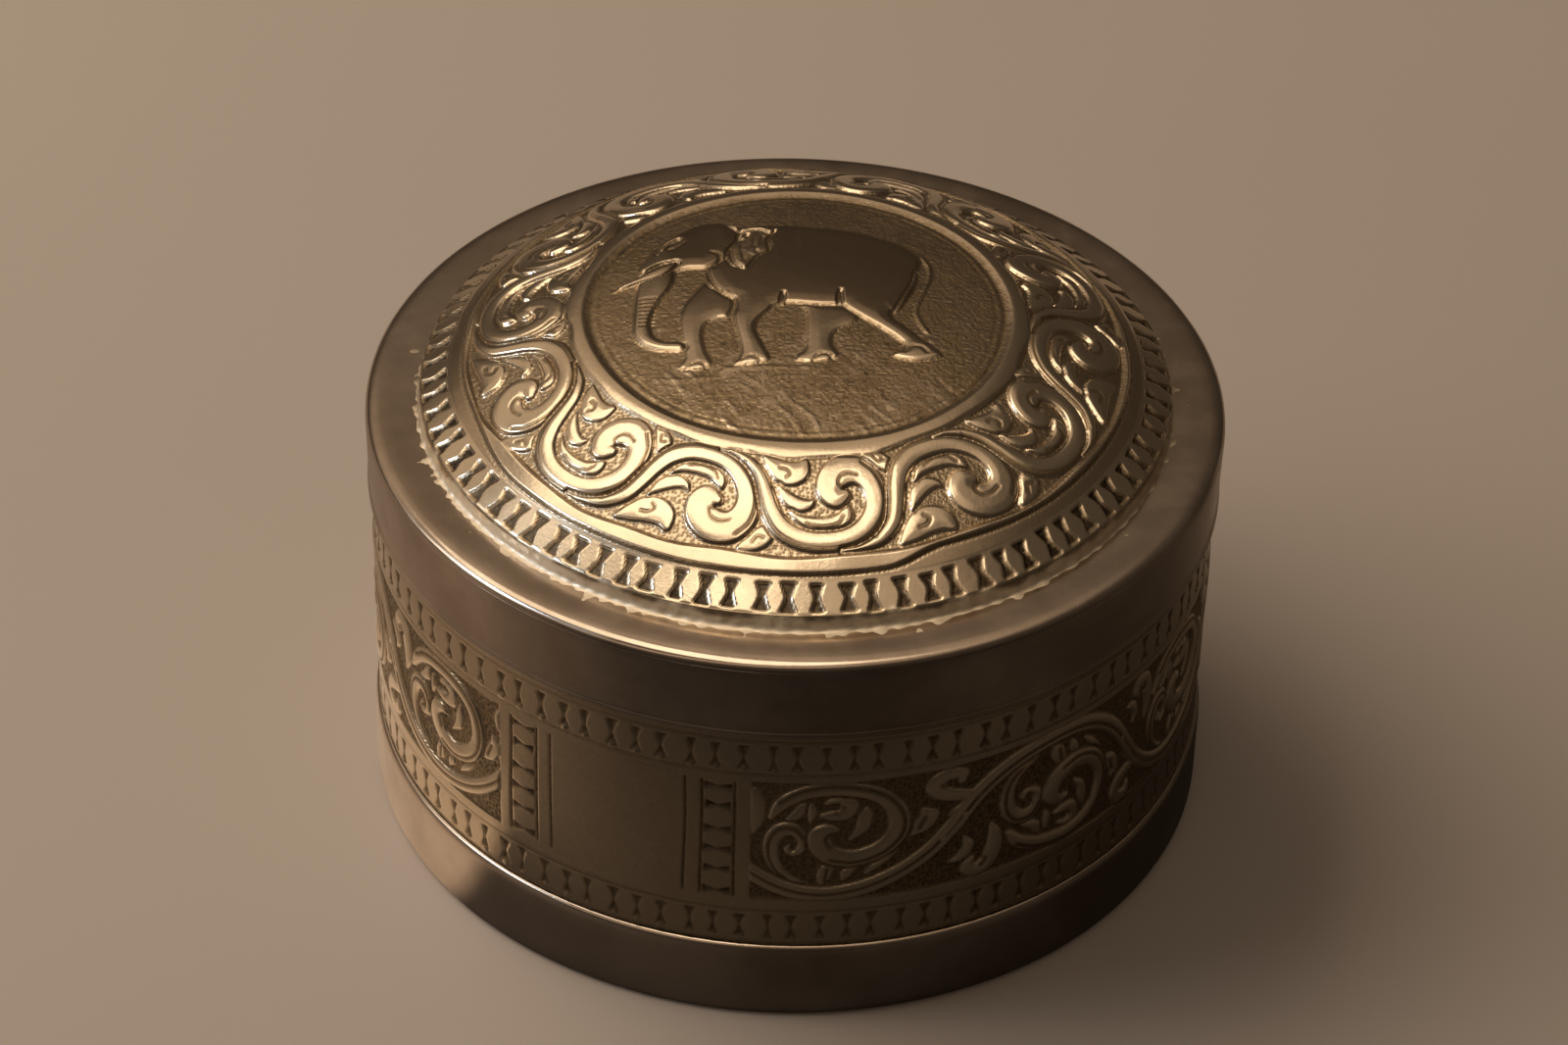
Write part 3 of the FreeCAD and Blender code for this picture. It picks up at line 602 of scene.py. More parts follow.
drum_length("drum_border_low", DRUM_FOOT, SCENE_LOW, 32, 1484, 0.0, 2 * math.pi, drum_border)
drum_length("drum_border_high", SCENE_HIGH, SEAT, 30, 1484, 0.0, 2 * math.pi, drum_border)
drum_length("drum_scroll_front", SCENE_LOW, SCENE_HIGH, 96, 960, -math.pi, math.pi, drum_relief)
drum_length("drum_scroll_back", SCENE_LOW, SCENE_HIGH, 96, 960, 0.0, math.pi, drum_relief)
lining_outline = spaced([
    (WALL, DRUM_FOOT), (WALL, FOOT_SHEET), (LINING, FOOT_SHEET), (LINING, SEAT), (WALL + 0.05, SEAT)])
finished("drum_lining", bent_round(lining_outline, 128), "box", "body_wall", "inner_silver")

# %% [markdown]
# The lid's scroll ring uses the same kind of wave, with a curl hanging in every crest and
# standing in every trough. Each curl ends in a broad, polished leaf with an eye, has a
# thin hook inside it and a small bud in the corner beside it.

# %% Strokes of the lid's scroll
CURL_BAND = [
    (-12.4, -4.5, 0.2), (-10.8, -4.4, 0.4), (-9.0, -3.8, 0.65), (-7.5, -2.5, 0.85), (-6.7, -0.8, 0.95),
    (-6.05, 0.9, 1.05), (-5.0, 2.4, 1.12), (-3.2, 3.4, 1.12), (-1.2, 3.7, 1.12), (0.9, 3.5, 1.12),
    (2.6, 2.7, 1.15), (3.8, 1.4, 1.22), (4.3, -0.2, 1.32), (4.0, -1.8, 1.45), (3.0, -2.85, 1.6),
    (1.6, -3.05, 1.7), (0.3, -2.4, 1.65), (-0.3, -1.3, 1.45), (0.3, -0.4, 1.15), (1.3, -0.6, 0.7)]
LID_CURL = [
    (0.28, [(-7.2, -4.5, 0.4), (-6.0, -3.7, 1.0), (-4.6, -3.0, 1.4), (-3.2, -3.2, 1.2), (-2.5, -4.1, 0.6)]),
    (0.28, [(4.2, -4.6, 0.45), (5.3, -3.9, 1.0), (6.2, -3.1, 1.0), (6.8, -2.1, 0.4)]),
    (0.26, [(-5.4, -1.7, 0.3), (-4.6, -0.6, 0.75), (-3.5, 0.1, 0.85), (-2.4, 0.1, 0.6), (-1.8, -0.4, 0.25)]),
    (0.32, [(-4.2, 0.8, 0.25), (-3.2, 1.6, 0.6), (-1.8, 2.0, 0.8), (-0.2, 2.0, 0.88), (0.9, 1.5, 0.85),
            (1.15, 0.75, 0.6), (0.5, 0.6, 0.35)]),
    (0.4, CURL_BAND),
]
LID_CUTS = [
    beside(CURL_BAND[2:15], 0.6),
    [(2.9, -2.3), (2.0, -2.6), (1.2, -2.4), (0.8, -1.7), (1.3, -1.3)],
    [(-5.3, -3.5), (-4.6, -3.4), (-4.2, -2.9), (-4.6, -2.5)],
    [(5.2, -4.0), (5.6, -3.4), (6.1, -3.5)],
    [(-2.6, 2.0), (-1.2, 2.35), (0.2, 2.1), (0.8, 1.4)],
]
PAIRS, DRAWN_PAIR = 7, 25.3
PAIR = 2 * math.pi / PAIRS * SCROLL_MID
CURLS = [(-DRAWN_PAIR / 2, -1), (0.0, 1), (DRAWN_PAIR / 2, -1), (DRAWN_PAIR, 1)]
print("a pair of curls takes", round(PAIR, 1), "mm of the ring")

# %% [markdown]
# The lid's scroll is worked out on the flat too. Outside it lies a plain raised ring that
# runs out in a tongue at the right of the front, and inside it the medallion's frame, cut
# by eye.

# %% Relief of the lid's scroll
TONGUE, START_TURN = math.radians(-73.0), 0.08
FRAME_MID, FRAME_HALF_WIDTH, FRAME_LIFT = 22.2, 1.9, 0.3
LID_DOT = 0.4
RING_POLISH, GAP_POLISH = 0.92, 0.72


def frame_profile(radius):
    """Rounded section of the medallion's frame."""
    return FRAME_LIFT * np.clip(1 - ((radius - FRAME_MID) / FRAME_HALF_WIDTH) ** 2, 0, 1)


def ragged_frame(angle):
    """Outer edge of the frame, which the chaser cut by eye."""
    return FRAME_OUT + 0.4 + 0.3 * unevenness(*on_circle(SCROLL_MID, angle), 2.6, 11)


def lid_curls(angle, radius, x, y):
    """Chased work of the running scroll alone."""
    around = angle + START_TURN
    number = np.floor(around * PAIRS / (2 * math.pi))
    along = (around * SCROLL_MID - (number + 0.5) * PAIR) * DRAWN_PAIR / PAIR
    work = Chasing(along + 0.35 * unevenness(x, y, 9, 4),
                   radius - SCROLL_MID + 0.22 * unevenness(x, y, 7, 9))
    for shift, flip in CURLS:
        for rise, stations in LID_CURL:
            curl = [(a + shift, b * flip, w) for a, b, w in stations]
            work.lay([curl], rise, edge=0.36, outline=0.22)
        for stations in LID_CUTS:
            work.cut([(a + shift, b * flip) for a, b in stations], 0.1, 0.17)
    return work


def lid_scroll(angle, radius):
    """Height and marks of the scroll ring, the plain ring and the edge of the frame."""
    x, y = on_circle(radius, angle)
    work = lid_curls(angle, radius, x, y)
    ground = 1 - ease(0.0, 0.16, work.height)
    dots = stippling(x, y, LID_DOT)
    height = work.height - ground * (0.04 + 0.07 * dots)
    polish = work.polish + ground * (0.78 - 0.5 * dots)
    front = ease(-2.9, -2.45, angle) * ease(TONGUE + 0.16, TONGUE - 0.03, angle)
    turn = on_circle(SCROLL_MID, angle)
    ring_in = SCROLL_OUT + 0.25 * unevenness(*turn, 3.1, 2)
    ring_out = RING_OUT - 1.15 + 1.05 * front + 0.12 * unevenness(*turn, 4, 5)
    ring = ease(0, 0.5, radius - ring_in) * ease(0, 0.5, ring_out - radius)
    ring_height = 0.26 + 0.05 * unevenness(x, y, 2.4, 3) + 0.12 * (1 - front)
    band = ease(0, 0.7, ragged_frame(angle) - radius)
    for cover, lift in ((ring, ring_height), (band, frame_profile(radius))):
        height = height * (1 - cover) + lift * cover
        polish = np.maximum(polish * (1 - cover), RING_POLISH * cover)
    gap = ease(-0.1, 0.25, radius - ring_out)
    return height * (1 - gap), {"polish": polish * (1 - gap) + GAP_POLISH * gap}


print("frame of the medallion stands", FRAME_LIFT, "mm over the crown")

# %% [markdown]
# The struck border slopes down to the rim, where solder has flowed out in a ragged line,
# further in front than behind. It is rough and pale, so it gets a mark of its own for the
# finish. Its pale colour is partly painted light: it is full in front and drops to a quarter
# behind, as if the back lay in shade.

# %% Relief of the lid's border
BORDER_MID, BORDER_COUNT, BORDER_LINE = 36.8, 84, 1.4
BORDER_COS = math.cos(math.atan2(RING_RISE - PANEL_LIP, PANEL_EDGE - RING_OUT))
BORDER_PUNCH = Punch(
    pitch=2 * math.pi * BORDER_MID / BORDER_COUNT, half=1.05, depth=0.3, waist=0.09, flare=0.17,
    dark=1.05, count=BORDER_COUNT)
SOLDER_IN, SOLDER_REACH, SPILL_OUT = 38.1, 39.15, 40.1
SOLDER_MID = math.radians(-105.0)


def lid_border(angle, radius):
    """Height and marks of the struck border and of the solder seam outside it, whose crust carries painted
    light in front.
    """
    x, y = on_circle(radius, angle)
    along = angle * BORDER_MID + 0.12 * unevenness(x, y, 12, 3)
    across = radius - BORDER_MID + 0.08 * unevenness(x, y, 9, 8)
    height, polish = struck_marks(along, across, BORDER_PUNCH)
    height = height + 0.12 * np.clip(across, -1.5, BORDER_LINE) + 0.18
    line = groove(across - BORDER_LINE, 0.09)
    lumps = 0.5 + 0.5 * unevenness(x, y, 0.5, 5)
    ragged = radius + 0.3 * unevenness(x, y, 1.5, 4) + 0.15 * lumps
    seam = ease(38.25, 38.7, ragged)
    front = ease(0.0, 0.85, np.cos(angle - SOLDER_MID))
    reach = SOLDER_REACH + 0.4 * front
    sunk = ease(SOLDER_IN, reach, radius)
    crust = 0.06 * lumps * ease(reach + 0.25, reach - 0.15, ragged) - 0.05
    lowered = (crust - dome_rise(radius)) / BORDER_COS
    height = (height - 0.05 * line) * (1 - sunk) + lowered * sunk + 0.06 * seam * lumps
    # Painted light on the crust: paler in front, and darker round the back as painted shade.
    painted_light_to_front = 0.25 + 0.75 * front
    return height, {
        "polish": polish * (1 - 0.5 * line) * 0.95, "seam": seam * (0.65 + 0.35 * lumps) * painted_light_to_front}


print("border of", BORDER_COUNT, "marks,", round(BORDER_PUNCH.pitch, 2), "mm apart")

# %% [markdown]
# The rings are bent round like the drum, along the dome, and pushed out square to its
# slope.

# %% Make the lid's rings
SLOPE_STEP = 0.05


def lid_ring(name, inner, outer, rows, steps, relief, start=0.0, turn=2 * math.pi):
    """One ring of the panel, chased by a relief of angle and radius."""
    radii = [outer + (inner - outer) * k / rows for k in range(rows + 1)]
    heights = RIM + dome_rise(np.array(radii))
    work = bent_round(list(zip(radii, heights)), steps, start, turn)
    points = places(work)
    angle, radius = polar(points)
    height, marks = relief(angle, radius)
    fall = dome_rise(radius - SLOPE_STEP) - dome_rise(radius + SLOPE_STEP)
    slope = np.arctan(fall / (2 * SLOPE_STEP))
    points[:, 2] += height * np.cos(slope)
    points[:, 0], points[:, 1] = on_circle(radius + height * np.sin(slope), angle)
    move(work, points)
    finished(name, work, "lid", "lid_panel", "chased_silver", upward, **marks)


SCROLL_IN = FRAME_OUT - 0.1
lid_ring("lid_scroll_front", SCROLL_IN, RING_OUT, 106, 900, lid_scroll, -math.pi, math.pi)
lid_ring("lid_scroll_back", SCROLL_IN, RING_OUT, 106, 900, lid_scroll, 0.0, math.pi)
lid_ring("lid_struck_border", RING_OUT, SPILL_OUT, 35, 1232, lid_border)

# %% [markdown]
# The medallion shows a walking elephant. Its parts are laid one over the other as the
# chaser did: the far legs and the tail, the body with the near legs, the head with the
# trunk, the tusk and the ear, then the ridges and the fine cuts. The outlines are drawn in
# millimetres from the middle of the medallion, feet towards the front.

# %% Outlines of the elephant
FAR_FORELEG = [
    (-9.2, 3.8), (-10.6, 1.6), (-11.8, -1.5), (-11.8, -5.0), (-11.4, -8.9), (-11.9, -10.9), (-10.2, -11.3),
    (-8.4, -10.5), (-9.1, -8.2), (-9.4, -5.9), (-9.0, -4.1), (-7.9, -3.1), (-6.8, -2.9), (-6.2, 0.4),
    (-7.6, 2.4)]
FAR_HIND_LEG = [
    (0.4, -0.4), (0.7, -2.2), (0.8, -7.4), (0.0, -8.9), (0.0, -9.9), (2.8, -9.6), (4.3, -8.7), (3.6, -6.8),
    (4.0, -4.8), (6.0, -3.0), (5.6, -0.6)]
BODY = [
    (-7.4, 12.7), (-5.0, 14.1), (-1.7, 14.6), (3.4, 14.1), (7.2, 13.3), (10.2, 11.8), (12.2, 9.5),
    (12.3, 7.4), (11.9, 4.4), (10.8, 1.4), (9.6, -1.2), (6.0, -0.8), (4.4, -0.6), (1.8, -0.7),
    (-1.3, -0.5), (-3.1, -1.3), (-6.2, -0.1), (-8.0, 1.4), (-9.2, 3.8), (-9.5, 6.1)]
NEAR_HIND_LEG = [
    (11.0, 2.0), (9.5, -1.5), (11.2, -3.5), (14.4, -7.0), (14.1, -7.9), (11.7, -8.8), (9.5, -8.3),
    (10.4, -6.0), (6.0, -2.2), (4.4, -0.2), (4.4, 2.0)]
NEAR_FORELEG = [
    (-7.8, 3.4), (-6.6, 0.2), (-6.4, -1.5), (-6.5, -3.1), (-5.8, -8.7), (-6.3, -10.6), (-4.6, -10.7),
    (-2.5, -9.9), (-3.3, -7.5), (-4.0, -5.2), (-3.8, -3.6), (-2.4, -1.1), (-1.6, 0.8), (-3.1, 3.8)]
HEAD = [
    (-8.8, 15.0), (-11.1, 14.4), (-13.5, 12.0), (-15.4, 8.8), (-16.6, 5.8), (-14.6, 4.4), (-13.0, 4.9),
    (-11.5, 5.7), (-9.4, 5.8), (-7.4, 7.5), (-6.2, 10.6), (-6.5, 13.4), (-7.4, 14.5)]
EAR = [
    (-6.2, 12.7), (-4.2, 13.2), (-3.2, 12.6), (-2.6, 13.0), (-3.3, 11.2), (-3.1, 9.0), (-4.3, 7.8),
    (-5.2, 5.7), (-6.0, 5.7), (-7.0, 7.2), (-7.3, 9.3), (-6.6, 11.0)]
TRUNK = [
    (-14.4, 6.5, 1.9), (-14.6, 3.5, 2.0), (-15.3, 0.6, 1.5), (-15.85, -2.6, 1.1), (-15.6, -5.0, 1.1),
    (-14.9, -6.4, 1.0), (-13.6, -7.3, 0.9), (-11.9, -7.6, 0.85)]
TUSK = [(-12.7, 6.8, 0.4), (-14.2, 5.6, 0.95), (-16.2, 4.1, 0.55), (-18.5, 2.5, 0.15)]
TAIL = [
    (12.4, 9.5, 0.35), (13.2, 7.7, 0.35), (13.3, 5.4, 0.3), (12.7, 3.0, 0.28), (11.9, 0.3, 0.28),
    (12.0, -1.4, 0.3), (13.0, -3.7, 0.35)]
FINE_CUTS = [
    [(-13.9, 9.4), (-13.3, 10.5), (-12.2, 11.2)], [(-14.3, 9.2), (-13.0, 9.4), (-12.0, 10.8)],
    [(-9.1, 8.6), (-8.2, 8.1), (-8.1, 6.9), (-8.5, 5.8)], [(-4.2, 12.6), (-4.8, 10.6), (-4.5, 8.6)],
    [(-3.9, 11.6), (-4.2, 10.0)], [(-5.7, 12.1), (-6.1, 9.6), (-5.6, 7.0)], [(-6.6, 0.4), (-7.2, 1.6)],
]
RIDGES = [
    [(11.9, 6.4, 0.15), (11.7, 4.2, 0.3), (10.7, 1.4, 0.3), (9.8, -1.0, 0.18)],
    [(-9.4, 5.4, 0.15), (-9.0, 2.9, 0.28), (-8.0, 1.7, 0.15)],
    [(4.3, -0.2, 0.22), (4.3, 1.0, 0.2), (4.3, 2.0, 0.1)],
    [(-1.6, -0.6, 0.22), (-1.6, 0.4, 0.2), (-1.6, 1.2, 0.1)],
    [(-7.6, 14.4, 0.15), (-6.9, 13.8, 0.35), (-6.4, 13.0, 0.15)],
    [(-7.3, 9.3, 0.15), (-7.2, 7.8, 0.26), (-6.7, 6.4, 0.26), (-6.0, 5.8, 0.15)],
    [(-6.3, 11.0, 0.1), (-5.8, 11.6, 0.28), (-5.4, 12.1, 0.1)],
    [(-14.6, 8.6, 0.2), (-13.7, 10.2, 0.26), (-12.6, 11.3, 0.15)],
]
SPECK = 0.32
TOES = ((-10.2, -10.6), (-4.8, -9.9), (2.5, -9.0), (11.8, -6.9))
TOE_LINE = ((-0.9, -0.6), (-0.3, 0.3), (0.6, 0.4), (1.2, -0.3))
TRUNK_FOLDS = [-4.0 + 0.62 * k for k in range(8)]
print("elephant from", TUSK[-1][0], "to", NEAR_HIND_LEG[3][0], "mm")

# %% [markdown]
# The parts are laid low for what is far and higher for what is near, with thin ridges
# along some edges. The field stays rough from the tool, with tufts of grass at the feet.
# The figure is made darker towards its back than at its legs, less so on the trunk and the
# ear, and this gets a mark of its own.

# %% Relief of the medallion
def chased_elephant(x, y):
    """Chased work of the figure alone."""
    work = Chasing(x + 0.12 * unevenness(x, y, 3, 1), y + 0.12 * unevenness(x, y, 3, 2))
    work.lay([FAR_FORELEG], 0.24, edge=0.5)
    work.lay([FAR_HIND_LEG], 0.24, edge=0.5)
    work.lay([TAIL], 0.2, edge=0.3, outline=0.2)
    work.lay([BODY, NEAR_HIND_LEG, NEAR_FORELEG], 0.36, edge=0.6, swell=0.25)
    work.lay([HEAD, TRUNK], 0.42, edge=0.65, outline=0.2)
    work.lay([TUSK], 0.44, edge=0.3, outline=0.2)
    work.lay([EAR], 0.4, edge=0.4, outline=0.2)
    for ridge in RIDGES:
        work.lay([ridge], 0.5, edge=0.3, outline=0.2)
    for stations in FINE_CUTS:
        work.cut(stations, 0.11, 0.17)
    for place in TRUNK_FOLDS:
        work.cut([(-15.9, place), (-14.6, place + 0.2)], 0.1, 0.16)
    for toe_x, toe_y in TOES:
        work.cut([(toe_x + a, toe_y + b) for a, b in TOE_LINE], 0.12, 0.18)
    return work


def medallion_field(x, y, dents):
    """Height of the rough field, and how far the tufts of grass cover it."""
    step = y + 12.2 - 1.6 * ease(-8.8, -6.6, x) + 0.2 * unevenness(x, y, 2, 3)
    meadow = ease(0.25, -0.2, step) * ease(-15, -12, x) * ease(4, 0, x)
    blades = np.sin((1.5 * x + y) * 2.6 + 2.2 * unevenness(x, y, 2.2, 2))
    tufts = ease(0.1, 0.9, blades) * ease(-0.2, 0.6, unevenness(x, y, 2.6, 9)) * ease(-9.5, -12.5, y)
    height = 0.018 * dents - 0.02 + 0.05 * meadow * ease(-0.8, 0, step) + 0.06 * tufts * ease(14, 6, x)
    return height, tufts


def medallion_relief(x, y):
    """Height and marks of the medallion's field, its figure and its frame."""
    radius, angle = np.hypot(x, y), np.arctan2(y, x)
    work = chased_elephant(x, y)
    figure = ease(0.02, 0.16, work.height)
    dents = unevenness(x, y, 0.9, 4) + unevenness(x, y, 0.4, 7)
    field, tufts = medallion_field(x, y, dents)
    ear = ease(-0.1, 0.3, depth_in_outline(passed_through(EAR, closed=True), x, y))
    height = work.height + field * (1 - figure) + 0.03 * dents * ear
    specks = scattered(np.floor(x / SPECK), np.floor(y / SPECK)) - 0.5
    matte = 0.5 + 0.1 * dents + 0.3 * specks + 0.1 * unevenness(x, y, 2.1, 12) + 0.2 * tufts
    shine = np.maximum(0.85 * figure * np.clip(work.polish, 0, 1), matte)
    polish = shine * (1 - ear) + (0.6 + 0.2 * dents) * ear
    rim_in = FIELD_OUT + 0.12 * unevenness(*on_circle(FIELD_OUT, angle), 5, 7)
    band = ease(-0.1, 0.9, radius - rim_in) * ease(0, 0.7, ragged_frame(angle) - radius)
    line = groove(radius - rim_in + 0.15, 0.2) + 0.6 * groove(radius - rim_in + 1.0, 0.14)
    height = height * (1 - band) + frame_profile(radius) * band - 0.1 * line
    polish = (polish * (1 - band) + 0.88 * band) * (1 - 0.6 * line)
    trunk_and_ear = (1 - 0.8 * ease(-13.0, -14.5, x)) * (1 - 0.8 * ear)
    # The figure is darkened towards its back, away from its feet, and less so on the trunk and the ear.
    patina = figure * (1 - band) * ease(-9, 1, y) * trunk_and_ear
    return height, {"polish": polish, "patina": patina}


trial_height = medallion_relief(np.linspace(-FIELD_OUT, FIELD_OUT, 400), np.full(400, 5.0))[0]
print("relief across the figure, mm:", round(float(np.ptp(trial_height)), 2))

# %% [markdown]
# A disc bent round the axis would crowd its points at the middle, just where the body of
# the figure is. So the medallion starts as a square grid, and each point is drawn in until
# the square is a disc. Then the disc is lifted onto the crown of the dome and chased.

# %% Make the medallion
GRID_SIDE = 300
work = bmesh.new()
bmesh.ops.create_grid(work, x_segments=GRID_SIDE, y_segments=GRID_SIDE, size=1.0)
points = places(work)
across, up = points[:, 0].copy(), points[:, 1].copy()
points[:, 0] = FRAME_OUT * across * np.sqrt(1 - up ** 2 / 2)
points[:, 1] = FRAME_OUT * up * np.sqrt(1 - across ** 2 / 2)
height, marks = medallion_relief(points[:, 0], points[:, 1])
points[:, 2] = RIM + dome_rise(np.hypot(points[:, 0], points[:, 1])) + height
move(work, points)
finished("lid_medallion", work, "lid", "lid_panel", "chased_silver", upward, **marks)

# %% [markdown]
# Under the panel, the lid is open: the inside shows the plain back of the dome when the
# lid is lifted. It is one shell, bent round, which closes the panel from its edge on the
# rim. Its faces look down, into the box.

# %% Back of the panel
BACK_OUT, BACK_SEAT, BACK_SHEET = PANEL_EDGE - 1.3, RIM - 0.05, 0.75
back = [(PANEL_EDGE - 0.5, BACK_SEAT), (BACK_OUT, BACK_SEAT)]
back += [(r, RIM + float(dome_rise(np.array(r))) - BACK_SHEET) for r in np.linspace(BACK_OUT, 0, 40)]
finished("lid_back", bent_round(back, 160), "lid", "lid_panel", "inner_silver", downward)

# %% [markdown]
# All finishes are node materials. A small class lets shader maths be written as plain
# Python: it wraps a socket, and adding or multiplying two of them adds a Math node.
# Any other node comes from one method, which takes its type, settings and inputs.

# %% Shader maths
class Value:
    """A socket of a finish, with the usual operators."""

    def __init__(self, finish, socket):
        self.finish, self.socket = finish, socket

    def with_other(self, operation, a, b):
        return self.finish.node("ShaderNodeMath", {"operation": operation}, {0: a, 1: b})

    def __add__(self, other):
        return self.with_other("ADD", self, other)

    __radd__ = __add__

    def __sub__(self, other):
        return self.with_other("SUBTRACT", self, other)

    def __rsub__(self, other):
        return self.with_other("SUBTRACT", other, self)

    def __mul__(self, other):
        return self.with_other("MULTIPLY", self, other)

    __rmul__ = __mul__


class Finish:
    """A node material built step by step."""

    def __init__(self, name):
        self.material = bpy.data.materials.new(name)
        self.material.use_nodes = True
        self.start(self.material.node_tree)

    def start(self, tree):
        self.tree = tree
        self.tree.nodes.clear()

    @classmethod
    def of_tree(cls, tree):
        """The same tools for a node tree that isn't a material's, such as the room's."""
        finish = cls.__new__(cls)
        finish.start(tree)
        return finish

    def node(self, kind, settings=None, inputs=None, out=0):
        made = self.tree.nodes.new(kind)
        for key, value in (settings or {}).items():
            if key == "stops":
                while len(made.color_ramp.elements) < len(value):
                    made.color_ramp.elements.new(0.5)
                for stop, (place, colour) in zip(made.color_ramp.elements, value):
                    stop.position, stop.color = place, (*colour, 1)
            else:
                setattr(made, key, value)
        for key, value in (inputs or {}).items():
            if isinstance(value, Value):
                self.tree.links.new(value.socket, made.inputs[key])
            else:
                made.inputs[key].default_value = value
        return Value(self, made.outputs[out]) if made.outputs else None

    def place(self):
        return self.node("ShaderNodeTexCoord", out="Object")

    def spread(self, value, low, high, to_low=0.0, to_high=1.0):
        return self.node("ShaderNodeMapRange", {"interpolation_type": "SMOOTHSTEP"}, {
            "Value": value, "From Min": low, "From Max": high, "To Min": to_low, "To Max": to_high})

    def cloud(self, scale, detail=4.0, rough=0.55, vector=None):
        return self.node("ShaderNodeTexNoise", {}, {
            "Vector": vector or self.place(), "Scale": scale, "Detail": detail, "Roughness": rough})

    def mix(self, factor, a, b):
        return self.node("ShaderNodeMix", {"data_type": "RGBA"}, {"Factor": factor, 6: a, 7: b}, out=2)

    def mark(self, name):
        return self.node("ShaderNodeAttribute", {"attribute_name": name}, out="Fac")

    def axis(self, vector, letter):
        return self.node("ShaderNodeSeparateXYZ", {}, {0: vector}, out=letter)

    def metal(self, colour, roughness, relief, strength, distance, metallic=1.0):
        bump = self.node("ShaderNodeBump", {}, {
            "Strength": strength, "Distance": distance, "Height": relief})
        return self.close(self.node("ShaderNodeBsdfPrincipled", {}, {
            "Base Color": colour, "Metallic": metallic, "Roughness": roughness, "Normal": bump}))

    def close(self, shader):
        self.node("ShaderNodeOutputMaterial", {}, {"Surface": shader})
        return self.material


print("steps of a finish:", [name for name in vars(Finish) if name[0] != "_"])

# %% [markdown]
# Plain silver, as on the rim, collar and foot, is smooth but old: it reflects like a worn
# mirror, with a warm brown tarnish that lies in clouds, finger smudges that dull it, and
# fine scratches from wiping. Colour and roughness both follow the clouds.

# %% Plain silver
def scratches(finish, scale, stretch):
    """Fine lines left by wiping: a noise drawn out in one direction."""
    turned = finish.node("ShaderNodeMapping", {}, {
        "Vector": finish.place(), "Rotation": (0.4, 0.9, 0.7), "Scale": stretch})
    return finish.cloud(scale, 2.0, 0.6, turned)


def plain_silver(name, clear, dull, rough):
    finish = Finish(name)
    tarnish = finish.spread(finish.cloud(55.0, 6.0, 0.6), 0.34, 0.68)
    smudge = finish.spread(finish.cloud(170.0, 3.0, 0.5), 0.45, 0.7)
    stain = finish.spread(finish.cloud(38.0, 5.0, 0.65), 0.5, 0.66)
    colour = finish.mix(tarnish, (*clear, 1), (*dull, 1))
    colour = finish.mix(stain * 0.45, colour, (0.3, 0.228, 0.165, 1))
    hair = finish.spread(scratches(finish, 500.0, (1.0, 0.12, 0.3)), 0.6, 0.75)
    roughness = rough + tarnish * 0.08 + smudge * 0.07 + hair * 0.03
    pits = finish.spread(finish.cloud(2200.0, 2.0, 0.5), 0.64, 0.76)
    relief = finish.cloud(200.0, 3.0, 0.5) * 0.5 - pits * 0.1
    return finish.metal(colour, roughness, relief, 0.1, 0.0004)


finishes = {
    "plain_silver": plain_silver("plain_silver", (0.66, 0.55, 0.45), (0.46, 0.37, 0.285), 0.15),
    "inner_silver": plain_silver("inner_silver", (0.58, 0.52, 0.44), (0.44, 0.37, 0.29), 0.3),
}
print("plain finishes:", list(finishes))

# %% [markdown]
# Chased silver is polished on the high parts and black-brown in the ground, where oxide
# and old polish collect. The pieces carry a mark for how far polish reaches, so the
# finish turns from dark and rough to bright and smooth with it. On the drum's borders that
# mark also holds painted shade under the collar and above the foot, and the solder crust's
# mark holds painted light in front.

# %% Chased silver
def chased_silver():
    finish = Finish("chased_silver")
    # Polish, with painted shade on the drum's borders by the collar and the foot.
    polish = finish.mark("polish")
    # Solder crust, painted paler in front as painted light.
    seam = finish.mark("seam")
    patches = finish.cloud(75.0, 5.0, 0.6)
    grain = finish.cloud(2400.0, 3.0, 0.6)
    reach = polish + (patches - 0.5) * 0.22 + (grain - 0.5) * (1.1 - polish) * 0.8
    worn = finish.node("ShaderNodeValToRGB", {"stops": [
        (0.0, (0.05, 0.036, 0.023)), (0.2, (0.2, 0.148, 0.093)), (0.42, (0.36, 0.262, 0.15)),
        (0.72, (0.58, 0.465, 0.33)), (0.95, (0.84, 0.7, 0.52))]}, {"Fac": reach})
    warm = finish.spread(patches, 0.4, 0.66)
    colour = finish.mix(warm * 0.3, worn, (0.36, 0.265, 0.165, 1))
    # Darker towards the back of the medallion's figure.
    patina = finish.mark("patina")
    colour = finish.mix(patina * 0.75, colour, (0.32, 0.24, 0.16, 1))
    crumbs = finish.spread(grain, 0.3, 0.6, 0.7, 1.1) * seam
    colour = finish.mix(crumbs, colour, (0.92, 0.79, 0.6, 1))
    hair = finish.spread(scratches(finish, 700.0, (1.0, 0.1, 0.4)), 0.6, 0.75)
    dull = finish.spread(reach, 0.1, 0.85, 0.5, 0.19)
    roughness = dull + finish.spread(patches, 0.4, 0.7) * 0.06 + hair * 0.03 + crumbs * 0.35
    relief = grain * finish.spread(reach, 0.2, 0.8, 1.2, 0.1) + finish.cloud(420.0, 3.0, 0.5) * 0.25
    return finish.metal(colour, roughness, relief, 0.3, 0.0003, 1 - crumbs * 0.5)


finishes["chased_silver"] = chased_silver()
for piece, slot in pieces:
    piece.data.materials.append(finishes[slot])
print("finishes on", len(pieces), "pieces")
